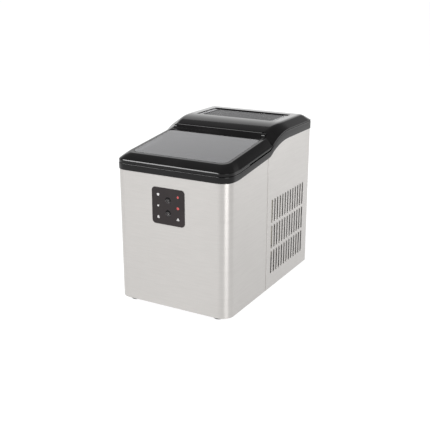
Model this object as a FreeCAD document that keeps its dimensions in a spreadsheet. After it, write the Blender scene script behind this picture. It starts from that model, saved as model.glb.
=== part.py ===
"""Countertop ice maker, built as separate sub-parts and written as one STEP file each.

Frame: X to the right seen from the front, Y to the back, Z up; the origin is the centre of the
bounding box's bottom, where the feet stand. All lengths are in millimetres.
"""
import FreeCAD, Part
import math
import os
import Sketcher

V = FreeCAD.Vector
doc = FreeCAD.newDocument("ice_maker")

# ---------------------------------------------------------------- driving sizes
SIZES = {
    # overall
    "overall_w": 242.0,
    "overall_d": 358.0,
    "overall_h": 328.0,
    "proud": 1.2,           # how far the plastic collar stands out past the steel
    "sheet_t": 0.9,         # steel sheet
    "wall": 2.4,            # plastic wall
    "gap": 0.5,             # visible parting gap
    "slip": 0.3,            # assembly clearance between plastic pieces
    "run": 0.05,            # radial running clearance
    "front_r": 24.0,        # upright front corners
    "rear_r": 4.0,          # upright rear corners
    # heights of the shell
    "foot_h": 6.0,
    "collar_z": 259.6,      # lower edge of the collar at the front
    "collar_h": 12.4,       # height of the collar band at the front
    "ridge_h": 7.4,         # from the collar's upper edge to the lid's outer ridge
    "lid_z": 286.0,         # lid top plane, produced to the front face
    "lid_slope": 0.125,     # rise of the lid over its depth
    "lid_front_in": 21.0,   # crease inset at the front
    "lid_side_in": 14.0,    # crease inset at the sides
    "lid_rear_y": -4.0,
    "seam_y": -19.0,        # joint between the front and the rear steel wraps
    # hinge
    "hinge_y": 4.0,
    "hinge_z": 309.0,
    "barrel_r": 7.0,
    "barrel_l": 188.0,
    "hinge_pin_r": 2.5,
    # rear housing
    "rear_lip_z": 314.0,    # parting line between the collar and the rear cover
    "grille_w": 176.0,
    "grille_d": 82.0,
    "grille_y": 106.0,
    "grille_drop": 3.0,
    "slat_n": 8.0,
    "slat_w": 5.6,
    # side vents
    "vent_n": 13.0,
    "vent_y": 1.0,
    "vent_pitch": 12.17,
    "vent_w": 5.0,
    "vent_z": 36.0,
    "vent_h": 46.0,
    "vent_step": 53.0,
    # control panel
    "panel_x": -3.0,
    "panel_z": 203.0,
    "panel_w": 69.0,
    "panel_r": 7.0,
    "panel_t": 0.8,
    "panel_lap": 4.0,       # how far the overlay laps over the steel round its hole
    "housing_d": 12.0,      # depth of the housing behind the overlay
    "housing_wall": 2.0,
    "board_t": 1.6,
    "board_back": 7.0,      # from the steel's face to the board
    "switch_h": 2.8,
    "switch_w": 6.0,
    "button_flange": 1.4,
    "button_r": 6.2,
    "button_dz": 12.3,
    "icon_dx": 21.0,
    "icon_dz": 20.9,
    "icon_r": 2.5,
    # ice compartment
    "well_w": 204.0,
    "well_y0": -164.0,
    "well_y1": 20.0,
    "well_z0": 70.0,
    "well_z1": 256.0,
    "well_r": 14.0,
    "mouth_y1": -10.0,      # rear edge of the opening under the lid
    "foam_t": 7.0,
    "basket_w": 180.0,
    "basket_y0": -158.0,
    "basket_y1": -68.0,
    "basket_z0": 132.0,
    "basket_h": 106.0,
    "basket_t": 2.0,
    # ice making unit
    "axle_y": -28.0,
    "axle_z": 208.0,
    "axle_r": 4.0,
    "tray_r": 30.0,
    "tray_t": 2.0,
    "tray_x0": -85.0,
    "tray_x1": 37.0,
    "rake_r": 34.5,
    "finger_r": 4.0,
    "finger_pitch": 24.0,
    "finger_row": 9.0,
    "frame_t": 3.0,
    # machine compartment
    "comp_x": -38.0,
    "comp_y": 97.0,
    "comp_r": 50.0,
    "comp_h": 138.0,
    "fan_y": 97.0,
    "fan_z": 112.0,
    "fan_r": 47.0,
    "fan_x": 78.0,
    "foot_r": 10.0,
    "foot_x": 92.0,
    "foot_y": 161.0,
    # base
    "base_h": 16.0,
    "base_t": 2.0,
    # holes and screws in the back
    "back_hole_x": 78.0,    # drain port, left of the middle
    "gland_x": 72.0,        # cord gland, right of the middle
    "port_z": 30.0,
    "port_r": 9.0,
    "plug_r": 5.2,
    "gland_r": 6.0,
    "screw_x": 104.0,
    "screw_z": 14.0,
    "screw_r": 1.5,
    "screw_l": 9.0,
    # level slots in the back
    "louvre_n": 11.0,
    "louvre_w": 62.0,
    "louvre_h": 4.5,
    "louvre_x": 38.0,
    "louvre_z": 62.0,
    "louvre_pitch": 12.0,
    # hoses and refrigerant lines
    "hose_r": 4.4,
    "hose_bore": 3.0,
    "hose_z": 30.0,
    "hose_x": 60.0,
    "hose_y": -40.0,
    "line_r": 2.4,
    "line_bore": 1.7,
    "suction_r": 3.0,
    "suction_bore": 2.2,
}

sheet = doc.addObject("Spreadsheet::Sheet", "dims")
for row, (alias, number) in enumerate(SIZES.items(), start=1):
    sheet.set("A%d" % row, alias)
    sheet.set("B%d" % row, str(number))
    sheet.setAlias("B%d" % row, alias)
doc.recompute()


def size(alias):
    """Read one driving size back from the sheet."""
    return float(sheet.get(alias))


NODES = {}


def node(label, obj):
    """Name a finished sub-part."""
    obj.Label = label
    NODES[label] = obj
    return obj


# ---------------------------------------------------------------- bound primitives
def place(obj, x, y, z, rotation=None):
    """Put an object at an expression position, with an optional fixed rotation."""
    if rotation is not None:
        obj.Placement = FreeCAD.Placement(V(0, 0, 0), rotation)
    obj.setExpression("Placement.Base.x", x)
    obj.setExpression("Placement.Base.y", y)
    obj.setExpression("Placement.Base.z", z)
    return obj


def box(name, x0, x1, y0, y1, z0, z1):
    """Box between six expressions."""
    obj = doc.addObject("Part::Box", name)
    obj.setExpression("Length", "(%s) - (%s)" % (x1, x0))
    obj.setExpression("Width", "(%s) - (%s)" % (y1, y0))
    obj.setExpression("Height", "(%s) - (%s)" % (z1, z0))
    return place(obj, x0, y0, z0)


TURN = {
    "x": FreeCAD.Rotation(V(0, 1, 0), 90),
    "y": FreeCAD.Rotation(V(1, 0, 0), -90),
    "z": FreeCAD.Rotation(),
}


def rod(name, radius, length, x, y, z, axis="z"):
    """Cylinder from an expression point along one axis."""
    obj = doc.addObject("Part::Cylinder", name)
    obj.setExpression("Radius", radius)
    obj.setExpression("Height", length)
    return place(obj, x, y, z, TURN[axis])


def cut(name, base, *tools):
    """Base less every tool."""
    obj = doc.addObject("Part::Cut", name)
    obj.Base = base
    obj.Tool = tools[0] if len(tools) == 1 else fuse(name + "_tools", *tools)
    return obj


def fuse(name, *parts):
    """Union of several objects."""
    obj = doc.addObject("Part::MultiFuse", name)
    obj.Shapes = list(parts)
    return obj


def shape(name, solid):
    """Feature holding a shape worked out in code."""
    obj = doc.addObject("Part::Feature", name)
    obj.Shape = solid
    return obj


def round_edges(name, base, radius, direction, test=None):
    """Fillet every straight edge along a direction that passes a test on its centre."""
    doc.recompute()
    picked = []
    for i, edge in enumerate(base.Shape.Edges, start=1):
        if edge.Curve.TypeId != "Part::GeomLine":
            continue
        if abs(abs(edge.tangentAt(edge.FirstParameter).dot(direction)) - 1) > 1e-6:
            continue
        if test is None or test(edge.CenterOfMass):
            picked.append((i, radius, radius))
    obj = doc.addObject("Part::Fillet", name)
    obj.Base = base
    obj.Edges = picked
    return obj


# ---------------------------------------------------------------- bound sketches
def origin_plane(body, role):
    """One of a body's own origin planes."""
    for feature in body.Origin.OriginFeatures:
        if feature.Role == role:
            return feature
    raise ValueError(role)


def new_sketch(body, name, role, x="0", y="0", z="0"):
    """Sketch on an origin plane, moved by expressions in the plane's own directions."""
    sketch = body.newObject("Sketcher::SketchObject", name)
    sketch.AttachmentSupport = [(origin_plane(body, role), "")]
    sketch.MapMode = "FlatFace"
    sketch.setExpression("AttachmentOffset.Base.x", x)
    sketch.setExpression("AttachmentOffset.Base.y", y)
    sketch.setExpression("AttachmentOffset.Base.z", z)
    return sketch


def add_rect(sketch, width, height):
    """Rectangle centred on the sketch's origin."""
    corners = [V(-5, -4, 0), V(5, -4, 0), V(5, 4, 0), V(-5, 4, 0)]
    first = len(sketch.Geometry)
    for i in range(4):
        sketch.addGeometry(Part.LineSegment(corners[i], corners[(i + 1) % 4]), False)
    for i in range(4):
        sketch.addConstraint(Sketcher.Constraint("Coincident", first + i, 2, first + (i + 1) % 4, 1))
    for i in (0, 2):
        sketch.addConstraint(Sketcher.Constraint("Horizontal", first + i))
        sketch.addConstraint(Sketcher.Constraint("Vertical", first + i + 1))
    sketch.addConstraint(Sketcher.Constraint("Symmetric", first, 1, first + 2, 1, -1, 1))
    wide = sketch.addConstraint(Sketcher.Constraint("DistanceX", first, 1, first, 2, 10.0))
    high = sketch.addConstraint(Sketcher.Constraint("DistanceY", first + 1, 1, first + 1, 2, 8.0))
    sketch.setExpression("Constraints[%d]" % wide, width)
    sketch.setExpression("Constraints[%d]" % high, height)


def add_circle(sketch, radius):
    """Circle on the sketch's origin."""
    index = sketch.addGeometry(Part.Circle(V(0, 0, 0), V(0, 0, 1), 3.0), False)
    sketch.addConstraint(Sketcher.Constraint("Coincident", index, 3, -1, 1))
    bound = sketch.addConstraint(Sketcher.Constraint("Radius", index, 3.0))
    sketch.setExpression("Constraints[%d]" % bound, radius)


def pad(body, name, sketch, length, reverse=False):
    """Pad a sketch by an expression length."""
    feature = body.newObject("PartDesign::Pad", name)
    feature.Profile = sketch
    feature.setExpression("Length", length)
    feature.Reversed = reverse
    return feature


def pocket(body, name, sketch, length, reverse=False):
    """Cut a sketch into the body and make sure that it removed something."""
    doc.recompute()
    before = body.Shape.Volume
    feature = body.newObject("PartDesign::Pocket", name)
    feature.Profile = sketch
    feature.setExpression("Length", length)
    feature.Reversed = reverse
    doc.recompute()
    if body.Shape.Volume > before - 0.01:
        feature.Reversed = not reverse
        doc.recompute()
    return feature


def spin_profile(body, name, points, axis="V_Axis", role="XZ_Plane"):
    """Revolve a closed outline of fixed points about a sketch axis."""
    sketch = new_sketch(body, name + "_sketch", role)
    for i, point in enumerate(points):
        following = points[(i + 1) % len(points)]
        sketch.addGeometry(Part.LineSegment(V(point[0], point[1], 0), V(following[0], following[1], 0)))
    feature = body.newObject("PartDesign::Revolution", name)
    feature.Profile = sketch
    feature.ReferenceAxis = (sketch, [axis])
    feature.Angle = 360.0
    return feature


# ---------------------------------------------------------------- shell outlines
HALF_W = size("overall_w") / 2
HALF_D = size("overall_d") / 2
TOP = size("overall_h")
K_D = size("overall_d") / 358.0     # depth stations keep their place along the case
TOP_DROP = TOP - 328.0              # rear housing heights follow the overall height


def plan_wire(half_w, y0, y1, r_front, r_rear, z=0.0):
    """Closed outline in plan: rounded front corners, tighter rear corners."""
    def corner(cx, cy, radius, start):
        points = []
        for step in (0, 45, 90):
            a = math.radians(start + step)
            points.append(V(cx + radius * math.cos(a), cy + radius * math.sin(a), z))
        return Part.Arc(*points).toShape()
    fr = r_front
    rr = r_rear
    arcs = [
        corner(-half_w + fr, y0 + fr, fr, 180),
        corner(half_w - fr, y0 + fr, fr, 270),
        corner(half_w - rr, y1 - rr, rr, 0),
        corner(-half_w + rr, y1 - rr, rr, 90),
    ]
    edges = []
    for i, arc in enumerate(arcs):
        following = arcs[(i + 1) % 4]
        edges.append(arc)
        edges.append(Part.makeLine(arc.Vertexes[-1].Point, following.Vertexes[0].Point))
    return Part.Wire(edges)


def prism(half_w, y0, y1, r_front, r_rear, z0, z1):
    """Upright solid on a plan outline."""
    return Part.Face(plan_wire(half_w, y0, y1, r_front, r_rear, z0)).extrude(V(0, 0, z1 - z0))


SLOPE = 0.122           # rise of the collar line from the bend to the S curve
BEND_Y = -138.0         # where the level front part of the collar line starts to rise
RISE_Y = -15.0          # where the S curve up to the rear starts
RISE_L = 88.0           # length of the S curve
EASE = 2.15             # how early the S curve levels out


def edge_wave(y, low, lip):
    """Height of a line that follows the collar: level, sloped, then an S up to the rear.

    low is the line's height at the front and lip its height at the rear.
    """
    y = y / K_D
    sloped = low + max(0.0, y - BEND_Y) * SLOPE
    if y <= RISE_Y:
        return sloped
    start = low + (RISE_Y - BEND_Y) * SLOPE
    u = min(1.0, (y - RISE_Y) / RISE_L)
    eased = 1.0 - (1.0 - u) ** EASE
    soft = min(1.0, u / 0.16)
    eased = eased * (0.55 + 0.45 * soft)
    return start + (lip - start) * eased


def under_wave(low, lip, x_half=200.0, floor=-20.0, y_end=200.0):
    """Solid that fills everything below a collar line."""
    stations = [-220.0, -150.0, BEND_Y]
    points = [V(-x_half, y * K_D, edge_wave(y * K_D, low, lip)) for y in stations]
    lines = [Part.makeLine(a, b) for a, b in zip(points, points[1:])]
    slope_end = V(-x_half, RISE_Y * K_D, edge_wave(RISE_Y * K_D, low, lip))
    lines.append(Part.makeLine(points[-1], slope_end))
    curve_y = [RISE_Y, -8, -2, 4, 10, 18, 26, 34, 44, 56, 73, 100]
    curve = Part.BSplineCurve()
    curve.interpolate([V(-x_half, y * K_D, edge_wave(y * K_D, low, lip)) for y in curve_y])
    lines.append(curve.toShape())
    last = V(-x_half, 100.0 * K_D, lip)
    far = V(-x_half, y_end * K_D, lip)
    low_far = V(-x_half, y_end * K_D, floor)
    low_near = V(-x_half, -220.0 * K_D, floor)
    for a, b in ((last, far), (far, low_far), (low_far, low_near), (low_near, points[0])):
        lines.append(Part.makeLine(a, b))
    return Part.Face(Part.Wire(lines)).extrude(V(2 * x_half, 0, 0))


collar_z = size("collar_z")
band_top = collar_z + size("collar_h")
lip_low = size("rear_lip_z") - 16.5 + TOP_DROP
lip_high = size("rear_lip_z") + TOP_DROP
proud = size("proud")
steel_hw = HALF_W - proud
steel_y0 = -HALF_D + proud
steel_y1 = HALF_D - proud
steel_fr = size("front_r") - proud
steel_rr = size("rear_r") - proud
sheet_t = size("sheet_t")
wall = size("wall")
slip = size("slip")
gap = size("gap")
foot_h = size("foot_h")

# ---------------------------------------------------------------- steel wraps
wrap_tube = prism(steel_hw, steel_y0, steel_y1, steel_fr, steel_rr, foot_h, TOP).cut(
    prism(steel_hw - sheet_t, steel_y0 + sheet_t, steel_y1 - sheet_t,
          steel_fr - sheet_t, steel_rr - sheet_t, foot_h - 1, TOP + 1))
wrap_tube = wrap_tube.common(under_wave(collar_z, lip_low))
seam_y = size("seam_y") * K_D
front_half = Part.makeBox(400, 400, 500, V(-200, seam_y - gap / 2 - 400, -50))
rear_half = Part.makeBox(400, 400, 500, V(-200, seam_y + gap / 2, -50))
front_sheet = shape("front_sheet", wrap_tube.common(front_half))
rear_sheet = shape("rear_sheet", wrap_tube.common(rear_half))

panel_hole = box(
    "panel_hole",
    "dims.panel_x - dims.panel_w / 2 + dims.panel_lap", "dims.panel_x + dims.panel_w / 2 - dims.panel_lap",
    "-dims.overall_d / 2 - 5", "-dims.overall_d / 2 + 8",
    "dims.panel_z - dims.panel_w / 2 + dims.panel_lap", "dims.panel_z + dims.panel_w / 2 - dims.panel_lap")
node("front_wrap", cut("front_wrap_cut", front_sheet, panel_hole))

# Vent slots on both sides of the rear wrap: three rows of upright slots with rounded ends.
vent_tools = []
vent_w = size("vent_w")
for row in range(3):
    z_low = size("vent_z") + row * size("vent_step")
    z_high = z_low + size("vent_h")
    for column in range(int(size("vent_n"))):
        y_mid = (size("vent_y") + column * size("vent_pitch")) * K_D
        straight = z_high - z_low - vent_w
        slot = Part.makeBox(400, vent_w, straight, V(-200, y_mid - vent_w / 2, z_low + vent_w / 2))
        ends = []
        for z_end in (z_low + vent_w / 2, z_high - vent_w / 2):
            ends.append(Part.makeCylinder(vent_w / 2, 400, V(-200, y_mid, z_end), V(1, 0, 0)))
        vent_tools.append(slot.fuse(ends).removeSplitter())
# Level slots in the back.
louvre_w = size("louvre_w")
for x_mid in (-size("louvre_x"), size("louvre_x")):
    for row in range(int(size("louvre_n"))):
        z_low = size("louvre_z") + row * size("louvre_pitch")
        corner = V(x_mid - louvre_w / 2, steel_y1 - 15, z_low)
        vent_tools.append(Part.makeBox(louvre_w, 30, size("louvre_h"), corner))
vents = shape("vents", Part.makeCompound(vent_tools))

gland_x = size("gland_x")
drain_x = -size("back_hole_x")
port_z = size("port_z")
port_r = size("port_r")
gland_r = size("gland_r")
screw_x = size("screw_x")
screw_r = size("screw_r")
screw_low_z = size("screw_z")
screw_high_z = lip_low - 8.0
screw_spots = [(x, z) for x in (-screw_x, screw_x) for z in (screw_low_z, screw_high_z)]


def back_bore(radius, x, z, y0=steel_y1 - 15.0):
    """Bore from y0 out through the back."""
    return Part.makeCylinder(radius, 30, V(x, y0, z), V(0, 1, 0))


back_holes = [back_bore(gland_r + 0.2, gland_x, port_z), back_bore(port_r + slip, drain_x, port_z)]
for x_spot, z_spot in screw_spots:
    back_holes.append(back_bore(screw_r + 0.2, x_spot, z_spot))
node("rear_wrap", cut("rear_wrap_cut", rear_sheet, vents, shape("back_holes", Part.makeCompound(back_holes))))

# ---------------------------------------------------------------- base
base_in = sheet_t + slip
base_h = size("base_h")
base_t = size("base_t")
base_hw = steel_hw - base_in
base_y0 = steel_y0 + base_in
base_y1 = steel_y1 - base_in
base_r = steel_fr - base_in
base_out = prism(base_hw, base_y0, base_y1, base_r, steel_rr - base_in, foot_h, foot_h + base_h)
base_room = prism(base_hw - base_t, base_y0 + base_t, base_y1 - base_t, base_r - base_t, 1.0,
                  foot_h + base_t, foot_h + base_h + 4)
base_shell = shape("base_shell", base_out.cut(base_room))
foot_spots = [(sx * size("foot_x"), sy * size("foot_y") * K_D) for sx in (-1, 1) for sy in (-1, 1)]
foot_screw_r = 2.0
base_bosses = [Part.makeCylinder(5.5, 9, V(x, y, foot_h + 1)) for x, y in foot_spots]
base_holes = [Part.makeCylinder(foot_screw_r + 0.1, 30, V(x, y, foot_h - 2)) for x, y in foot_spots]
for x_spot in (-screw_x, screw_x):
    base_bosses.append(Part.makeBox(10, 9, 13, V(x_spot - 5, base_y1 - 10, foot_h + 1)))
    base_holes.append(back_bore(screw_r + 0.1, x_spot, screw_low_z, steel_y1 - 8))
base_holes.append(back_bore(port_r + slip, drain_x, port_z))
base_holes.append(back_bore(gland_r + 2.5, gland_x, port_z))
node("base_tray", cut(
    "base_cut",
    fuse("base_solid", base_shell, shape("base_bosses", Part.makeCompound(base_bosses))),
    shape("base_holes", Part.makeCompound(base_holes))))

# Feet and their screws: one revolved outline each, repeated at the four corners.
foot_r = size("foot_r")
head_z = 2.6
foot_bore = foot_screw_r + slip
foot_profile = [(foot_bore, head_z), (4.6, head_z), (4.6, 0.0), (foot_r - 1.2, 0.0), (foot_r, 1.2),
                (foot_r - 1.0, foot_h), (foot_bore, foot_h)]
screw_profile = [(0.0, 0.7), (3.8, 0.7), (3.8, head_z), (foot_screw_r, head_z), (foot_screw_r, foot_h + 8),
                 (0.0, foot_h + 8)]


def turned(profile):
    """Solid of revolution about Z from (radius, height) points."""
    points = [V(r, 0, z) for r, z in profile]
    return Part.Face(Part.makePolygon(points + [points[0]])).revolve(V(0, 0, 0), V(0, 0, 1), 360)


def copies(solid, spots, z=0.0):
    """Compound of a solid moved to every (x, y) spot."""
    moved = []
    for x, y in spots:
        item = solid.copy()
        item.translate(V(x, y, z))
        moved.append(item)
    return Part.makeCompound(moved)


node("rubber_feet", shape("feet", copies(turned(foot_profile), foot_spots)))
node("foot_screws", shape("foot_bolts", copies(turned(screw_profile), foot_spots)))

# ---------------------------------------------------------------- top collar
well_hw = size("well_w") / 2
mouth_y0 = size("well_y0") + 1.0
mouth_y1 = size("mouth_y1")
hinge_y = size("hinge_y")
hinge_z = size("hinge_z")
barrel_r = size("barrel_r")
barrel_hl = size("barrel_l") / 2
collar_outer = prism(HALF_W, -HALF_D, HALF_D, size("front_r"), size("rear_r"), 200, TOP)
collar_band = collar_outer.common(under_wave(band_top, lip_high)).cut(under_wave(collar_z, lip_low))
lip_in = sheet_t + slip
inner_ring = prism(steel_hw - lip_in - wall, steel_y0 + lip_in + wall, steel_y1 - lip_in - wall,
                   steel_fr - 3, 2.0, 200, TOP + 5)
collar_ring = collar_band.cut(inner_ring)
# A lip runs down inside the steel all round.
lip_outer = prism(steel_hw - lip_in, steel_y0 + lip_in, steel_y1 - lip_in, steel_fr - lip_in, 2.0, 200, TOP)
collar_lip = lip_outer.cut(inner_ring).common(under_wave(collar_z + 1, lip_low + 1)).cut(
    under_wave(collar_z - 12, lip_low - 14))
# A deck joins the band to the mouth; a short wall runs down round the mouth to the well.
deck_low = band_top - 1.2
deck_high = band_top + 17.5
deck = lip_outer.common(under_wave(deck_low, deck_high)).cut(under_wave(deck_low - wall, deck_high - wall))
deck = deck.common(Part.makeBox(400, hinge_y + 16 + 200, 400, V(-200, -200, 0)))
mouth_hw = well_hw - 3.0
mouth = prism(mouth_hw, mouth_y0, mouth_y1, size("well_r"), 6.0, 200, TOP)
mouth_outer = prism(mouth_hw + wall, mouth_y0 - wall, mouth_y1 + wall, size("well_r") + wall, 8.0,
                    size("well_z1") + slip, TOP).common(under_wave(deck_low, deck_high))
collar_solid = collar_ring.fuse([collar_lip, deck, mouth_outer]).cut(mouth)
# Hinge ears stand on the deck at both ends of the barrel.
ear_t = 7.0
ear_x = barrel_hl + slip            # inner face of each ear
ear_w = 12.4
ear_foot_z = 280.0
pin_r = size("hinge_pin_r")


def across(radius, x0, x1):
    """Cylinder about the hinge line between two stations."""
    return Part.makeCylinder(radius, x1 - x0, V(x0, hinge_y, hinge_z), V(1, 0, 0))


ears = []
pin_holes = []
for x0, x1 in ((-ear_x - ear_t, -ear_x), (ear_x, ear_x + ear_t)):
    ear = Part.makeBox(ear_t, 15, hinge_z - ear_foot_z, V(x0, hinge_y - 6, ear_foot_z))
    ears.append(ear.fuse(across(ear_w / 2, x0, x1)))
    pin_holes.append(across(pin_r + 0.02, x0 - 1, x1 + 1))
screw_pads = []
screw_bores = []
for x_spot in (-screw_x, screw_x):
    screw_pads.append(Part.makeBox(10, 8, 14, V(x_spot - 5, steel_y1 - lip_in - 9, screw_high_z - 6)))
    screw_bores.append(back_bore(screw_r + 0.1, x_spot, screw_high_z, steel_y1 - 9))
collar_solid = collar_solid.fuse(ears + screw_pads).cut(pin_holes + screw_bores).removeSplitter()
node("top_collar", shape("collar", collar_solid))

screw_l = size("screw_l")
case_screws = []
for x_spot, z_spot in screw_spots:
    head = Part.makeCylinder(3.2, proud - 0.1, V(x_spot, steel_y1, z_spot), V(0, 1, 0))
    shank = Part.makeCylinder(screw_r, screw_l, V(x_spot, steel_y1 - screw_l + 1, z_spot), V(0, 1, 0))
    case_screws.append(head.fuse(shank))
node("case_screws", shape("screws", Part.makeCompound(case_screws)))

# ---------------------------------------------------------------- rear cover
COVER_TOP = [(4, 316.0, 97), (10, 317.6, 98), (16, 320.4, 99.5), (25, 323.4, 101.5), (38, 325.8, 103.5),
             (55, 327.2, 104), (75, 328.0, 104), (120, 328.0, 104), (160, 328.0, 104), (171, 327.4, 104),
             (179, 323.5, 104)]


def cover_section(y, z_top, x_top, inset, low):
    """Closed outline of the rear cover at one depth, inset from the outside by a wall."""
    half = HALF_W - inset
    shoulder = edge_wave(y * K_D, band_top, lip_high) + 3.0 - inset
    if y > 165:
        shoulder -= (y - 165) * 0.12
    x_in = min(HALF_W * x_top / 121.0, HALF_W - 3) - inset * 0.5
    top = z_top + TOP_DROP - inset
    points = [V(-half, y * K_D, low), V(half, y * K_D, low), V(half, y * K_D, shoulder),
              V(x_in, y * K_D, top), V(-x_in, y * K_D, top), V(-half, y * K_D, shoulder)]
    return Part.makePolygon(points + [points[0]])


def cover_solid(inset, low):
    """Rear cover volume through all its sections."""
    return Part.makeLoft([cover_section(y, z, x, inset, low) for y, z, x in COVER_TOP], True, False)


cover = cover_solid(0.0, 285.0).common(collar_outer)
cover = cover.common(Part.makeBox(400, 400, 60, V(-200, -200, TOP - 60)))
cover = cover.cut(under_wave(band_top + gap, lip_high + gap))
hollow_room = prism(HALF_W - wall, -HALF_D + 3, HALF_D - wall, 20, 2.0, 200, TOP)
hollow = cover_solid(wall, 270.0).common(hollow_room)
hollow = hollow.common(Part.makeBox(400, 400, 400, V(-200, hinge_y + barrel_r + 4, 0)))
cover = cover.cut(hollow)
# The hinge barrel lies in a round trough; the ears and the lid get room beside it.
trough_r = barrel_r + 0.4
trough_hl = ear_x + ear_t + 0.5
trough = across(trough_r, -trough_hl, trough_hl)
trough_front = Part.makeBox(2 * trough_hl, 2 * barrel_r + 8, 40,
                            V(-trough_hl, hinge_y - trough_r - 8, hinge_z - 40))
ear_room = Part.makeBox(2 * trough_hl, barrel_r + 3.0, 40, V(-trough_hl, hinge_y, hinge_z - 40))
cover = cover.cut([trough, trough_front, ear_room])
grille_w = size("grille_w")
grille_d = size("grille_d")
grille_y = size("grille_y") * K_D
cover = cover.cut(Part.makeBox(grille_w, grille_d, 30, V(-grille_w / 2, grille_y - grille_d / 2, TOP - 20)))
cover = max(cover.Solids, key=lambda item: item.Volume)
node("rear_cover", shape("cover", cover.removeSplitter()))

# ---------------------------------------------------------------- top grille
grille = doc.addObject("PartDesign::Body", "grille_body")
grille_sketch = new_sketch(grille, "grille_outline", "XY_Plane", "0", "dims.grille_y * dims.overall_d / 358",
                           "dims.overall_h - dims.grille_drop")
add_rect(grille_sketch, "dims.grille_w - 2 * dims.slip", "dims.grille_d - 2 * dims.slip")
pad(grille, "grille_plate", grille_sketch, "3", True)
slit_sketch = new_sketch(
    grille, "slit", "XY_Plane", "0",
    "dims.grille_y * dims.overall_d / 358 - dims.grille_d / 2 + 4 + (dims.grille_d - 8) / dims.slat_n / 2",
    "dims.overall_h - dims.grille_drop + 1")
add_rect(slit_sketch, "dims.grille_w - 12", "(dims.grille_d - 8) / dims.slat_n - dims.slat_w")
slit_cut = pocket(grille, "slit_cut", slit_sketch, "8")
slits = grille.newObject("PartDesign::LinearPattern", "slits")
slits.Originals = [slit_cut]
slits.Direction = (slit_sketch, ["V_Axis"])
slits.Occurrences = int(size("slat_n"))
slits.setExpression("Length", "(dims.grille_d - 8) / dims.slat_n * (dims.slat_n - 1)")
grille.Tip = slits
node("top_grille", grille)

# ---------------------------------------------------------------- lid
lid_rear = size("lid_rear_y")
lid_slope = size("lid_slope")
ridge_z = band_top + size("ridge_h")
side_in = size("lid_side_in")
front_in = size("lid_front_in")


def lid_top_z(y):
    """Height of the lid's flat top."""
    return size("lid_z") + lid_slope * (y + HALF_D) / K_D


def lid_wire(half_w, y0, y1, radius, height):
    """Outline of the lid lifted to a height given by y; the sides bend where the slope starts."""
    bend = BEND_Y * K_D
    c = math.cos(math.radians(45)) * radius
    def at(x, y):
        return V(x, y, height(y))
    def arc(p, q, r):
        return Part.Arc(p, q, r).toShape()
    cx = half_w - radius
    cy = y0 + radius
    edges = [
        arc(at(-half_w, cy), at(-cx - c, cy - c), at(-cx, y0)),
        Part.makeLine(at(-cx, y0), at(cx, y0)),
        arc(at(cx, y0), at(cx + c, cy - c), at(half_w, cy)),
        Part.makeLine(at(half_w, cy), at(half_w, bend)),
        Part.makeLine(at(half_w, bend), at(half_w, y1)),
        Part.makeLine(at(half_w, y1), at(-half_w, y1)),
        Part.makeLine(at(-half_w, y1), at(-half_w, bend)),
        Part.makeLine(at(-half_w, bend), at(-half_w, cy)),
    ]
    return Part.Wire(edges)


def lid_form(inset, floor):
    """Lid volume: upright skirt, bevel from the ridge to the crease, sloped top."""
    half_w = HALF_W - 0.4 - inset
    y0 = -HALF_D + 0.4 + inset
    y1 = lid_rear - inset
    r0 = size("front_r") - inset
    ridge = lambda y: ridge_z + max(0.0, y / K_D - BEND_Y) * SLOPE - 0.6 * inset
    top = lambda y: lid_top_z(y) - 1.02 * inset
    sections = [
        lid_wire(half_w, y0, y1, r0, lambda y: floor),
        lid_wire(half_w, y0, y1, r0, ridge),
        lid_wire(HALF_W - side_in - inset * 0.4, -HALF_D + front_in + inset * 0.4, y1, 17.0, top),
    ]
    return Part.makeLoft(sections, True, True)


lid_solid = lid_form(0.0, 240.0).cut(under_wave(band_top + gap, lip_high + gap))
# Behind the side notches the skirt stops short of the collar.
notch_y = -100.0 * K_D
relief = under_wave(band_top + 2.6, lip_high + 2.6).common(
    Part.makeBox(400, 200, 400, V(-200, notch_y, 0)))
lid_solid = lid_solid.cut(relief)
lid_solid = lid_solid.cut(lid_form(wall, 230.0))
# Hinge barrel at the back with a web to the lid, bored for the pins.
barrel = across(barrel_r, -barrel_hl, barrel_hl)
web_y = lid_rear - 2.5
web_points = [V(-barrel_hl, web_y, lid_top_z(web_y)), V(-barrel_hl, hinge_y, hinge_z + 1.5),
              V(-barrel_hl, hinge_y, hinge_z - 5.5), V(-barrel_hl, web_y, lid_top_z(web_y) - 9.0)]
web = Part.Face(Part.makePolygon(web_points + [web_points[0]])).extrude(V(2 * barrel_hl, 0, 0))
bore_r = pin_r + size("run")
bores = [across(bore_r, -barrel_hl - 1, -barrel_hl + 12), across(bore_r, barrel_hl - 12, barrel_hl + 1)]
lid_solid = lid_solid.fuse([barrel, web])
# The window drops into a stepped opening in the top.
window_hw = HALF_W - side_in - 7.0
window_y0 = -HALF_D + front_in + 7.0
window_y1 = lid_rear - 12.0
window_t = 2.6
tilt = FreeCAD.Rotation(V(1, 0, 0), math.degrees(math.atan(lid_slope)))


def window_plate(half_w, y0, y1, radius, above, below):
    """Plate parallel to the lid's top, from above to below its plane."""
    wire = plan_wire(half_w, y0, y1, radius, radius * 0.55, 0.0)
    flat = Part.Face(wire).extrude(V(0, 0, above + below))
    flat.translate(V(0, 0, -below))
    mid = (y0 + y1) / 2
    flat.translate(V(0, -mid, 0))
    flat.Placement = FreeCAD.Placement(V(0, mid, lid_top_z(mid)), tilt).multiply(flat.Placement)
    return flat


def window_inset(inset, radius, above, below):
    """The window's plate drawn in by an inset."""
    return window_plate(window_hw - inset, window_y0 + inset, window_y1 - inset, radius, above, below)


glass_t = window_t - 0.4
lid_solid = lid_solid.cut([window_inset(0.0, 13, 5, glass_t)])
lid_solid = lid_solid.cut([window_inset(4.0, 10, 5, 12)])
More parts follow.
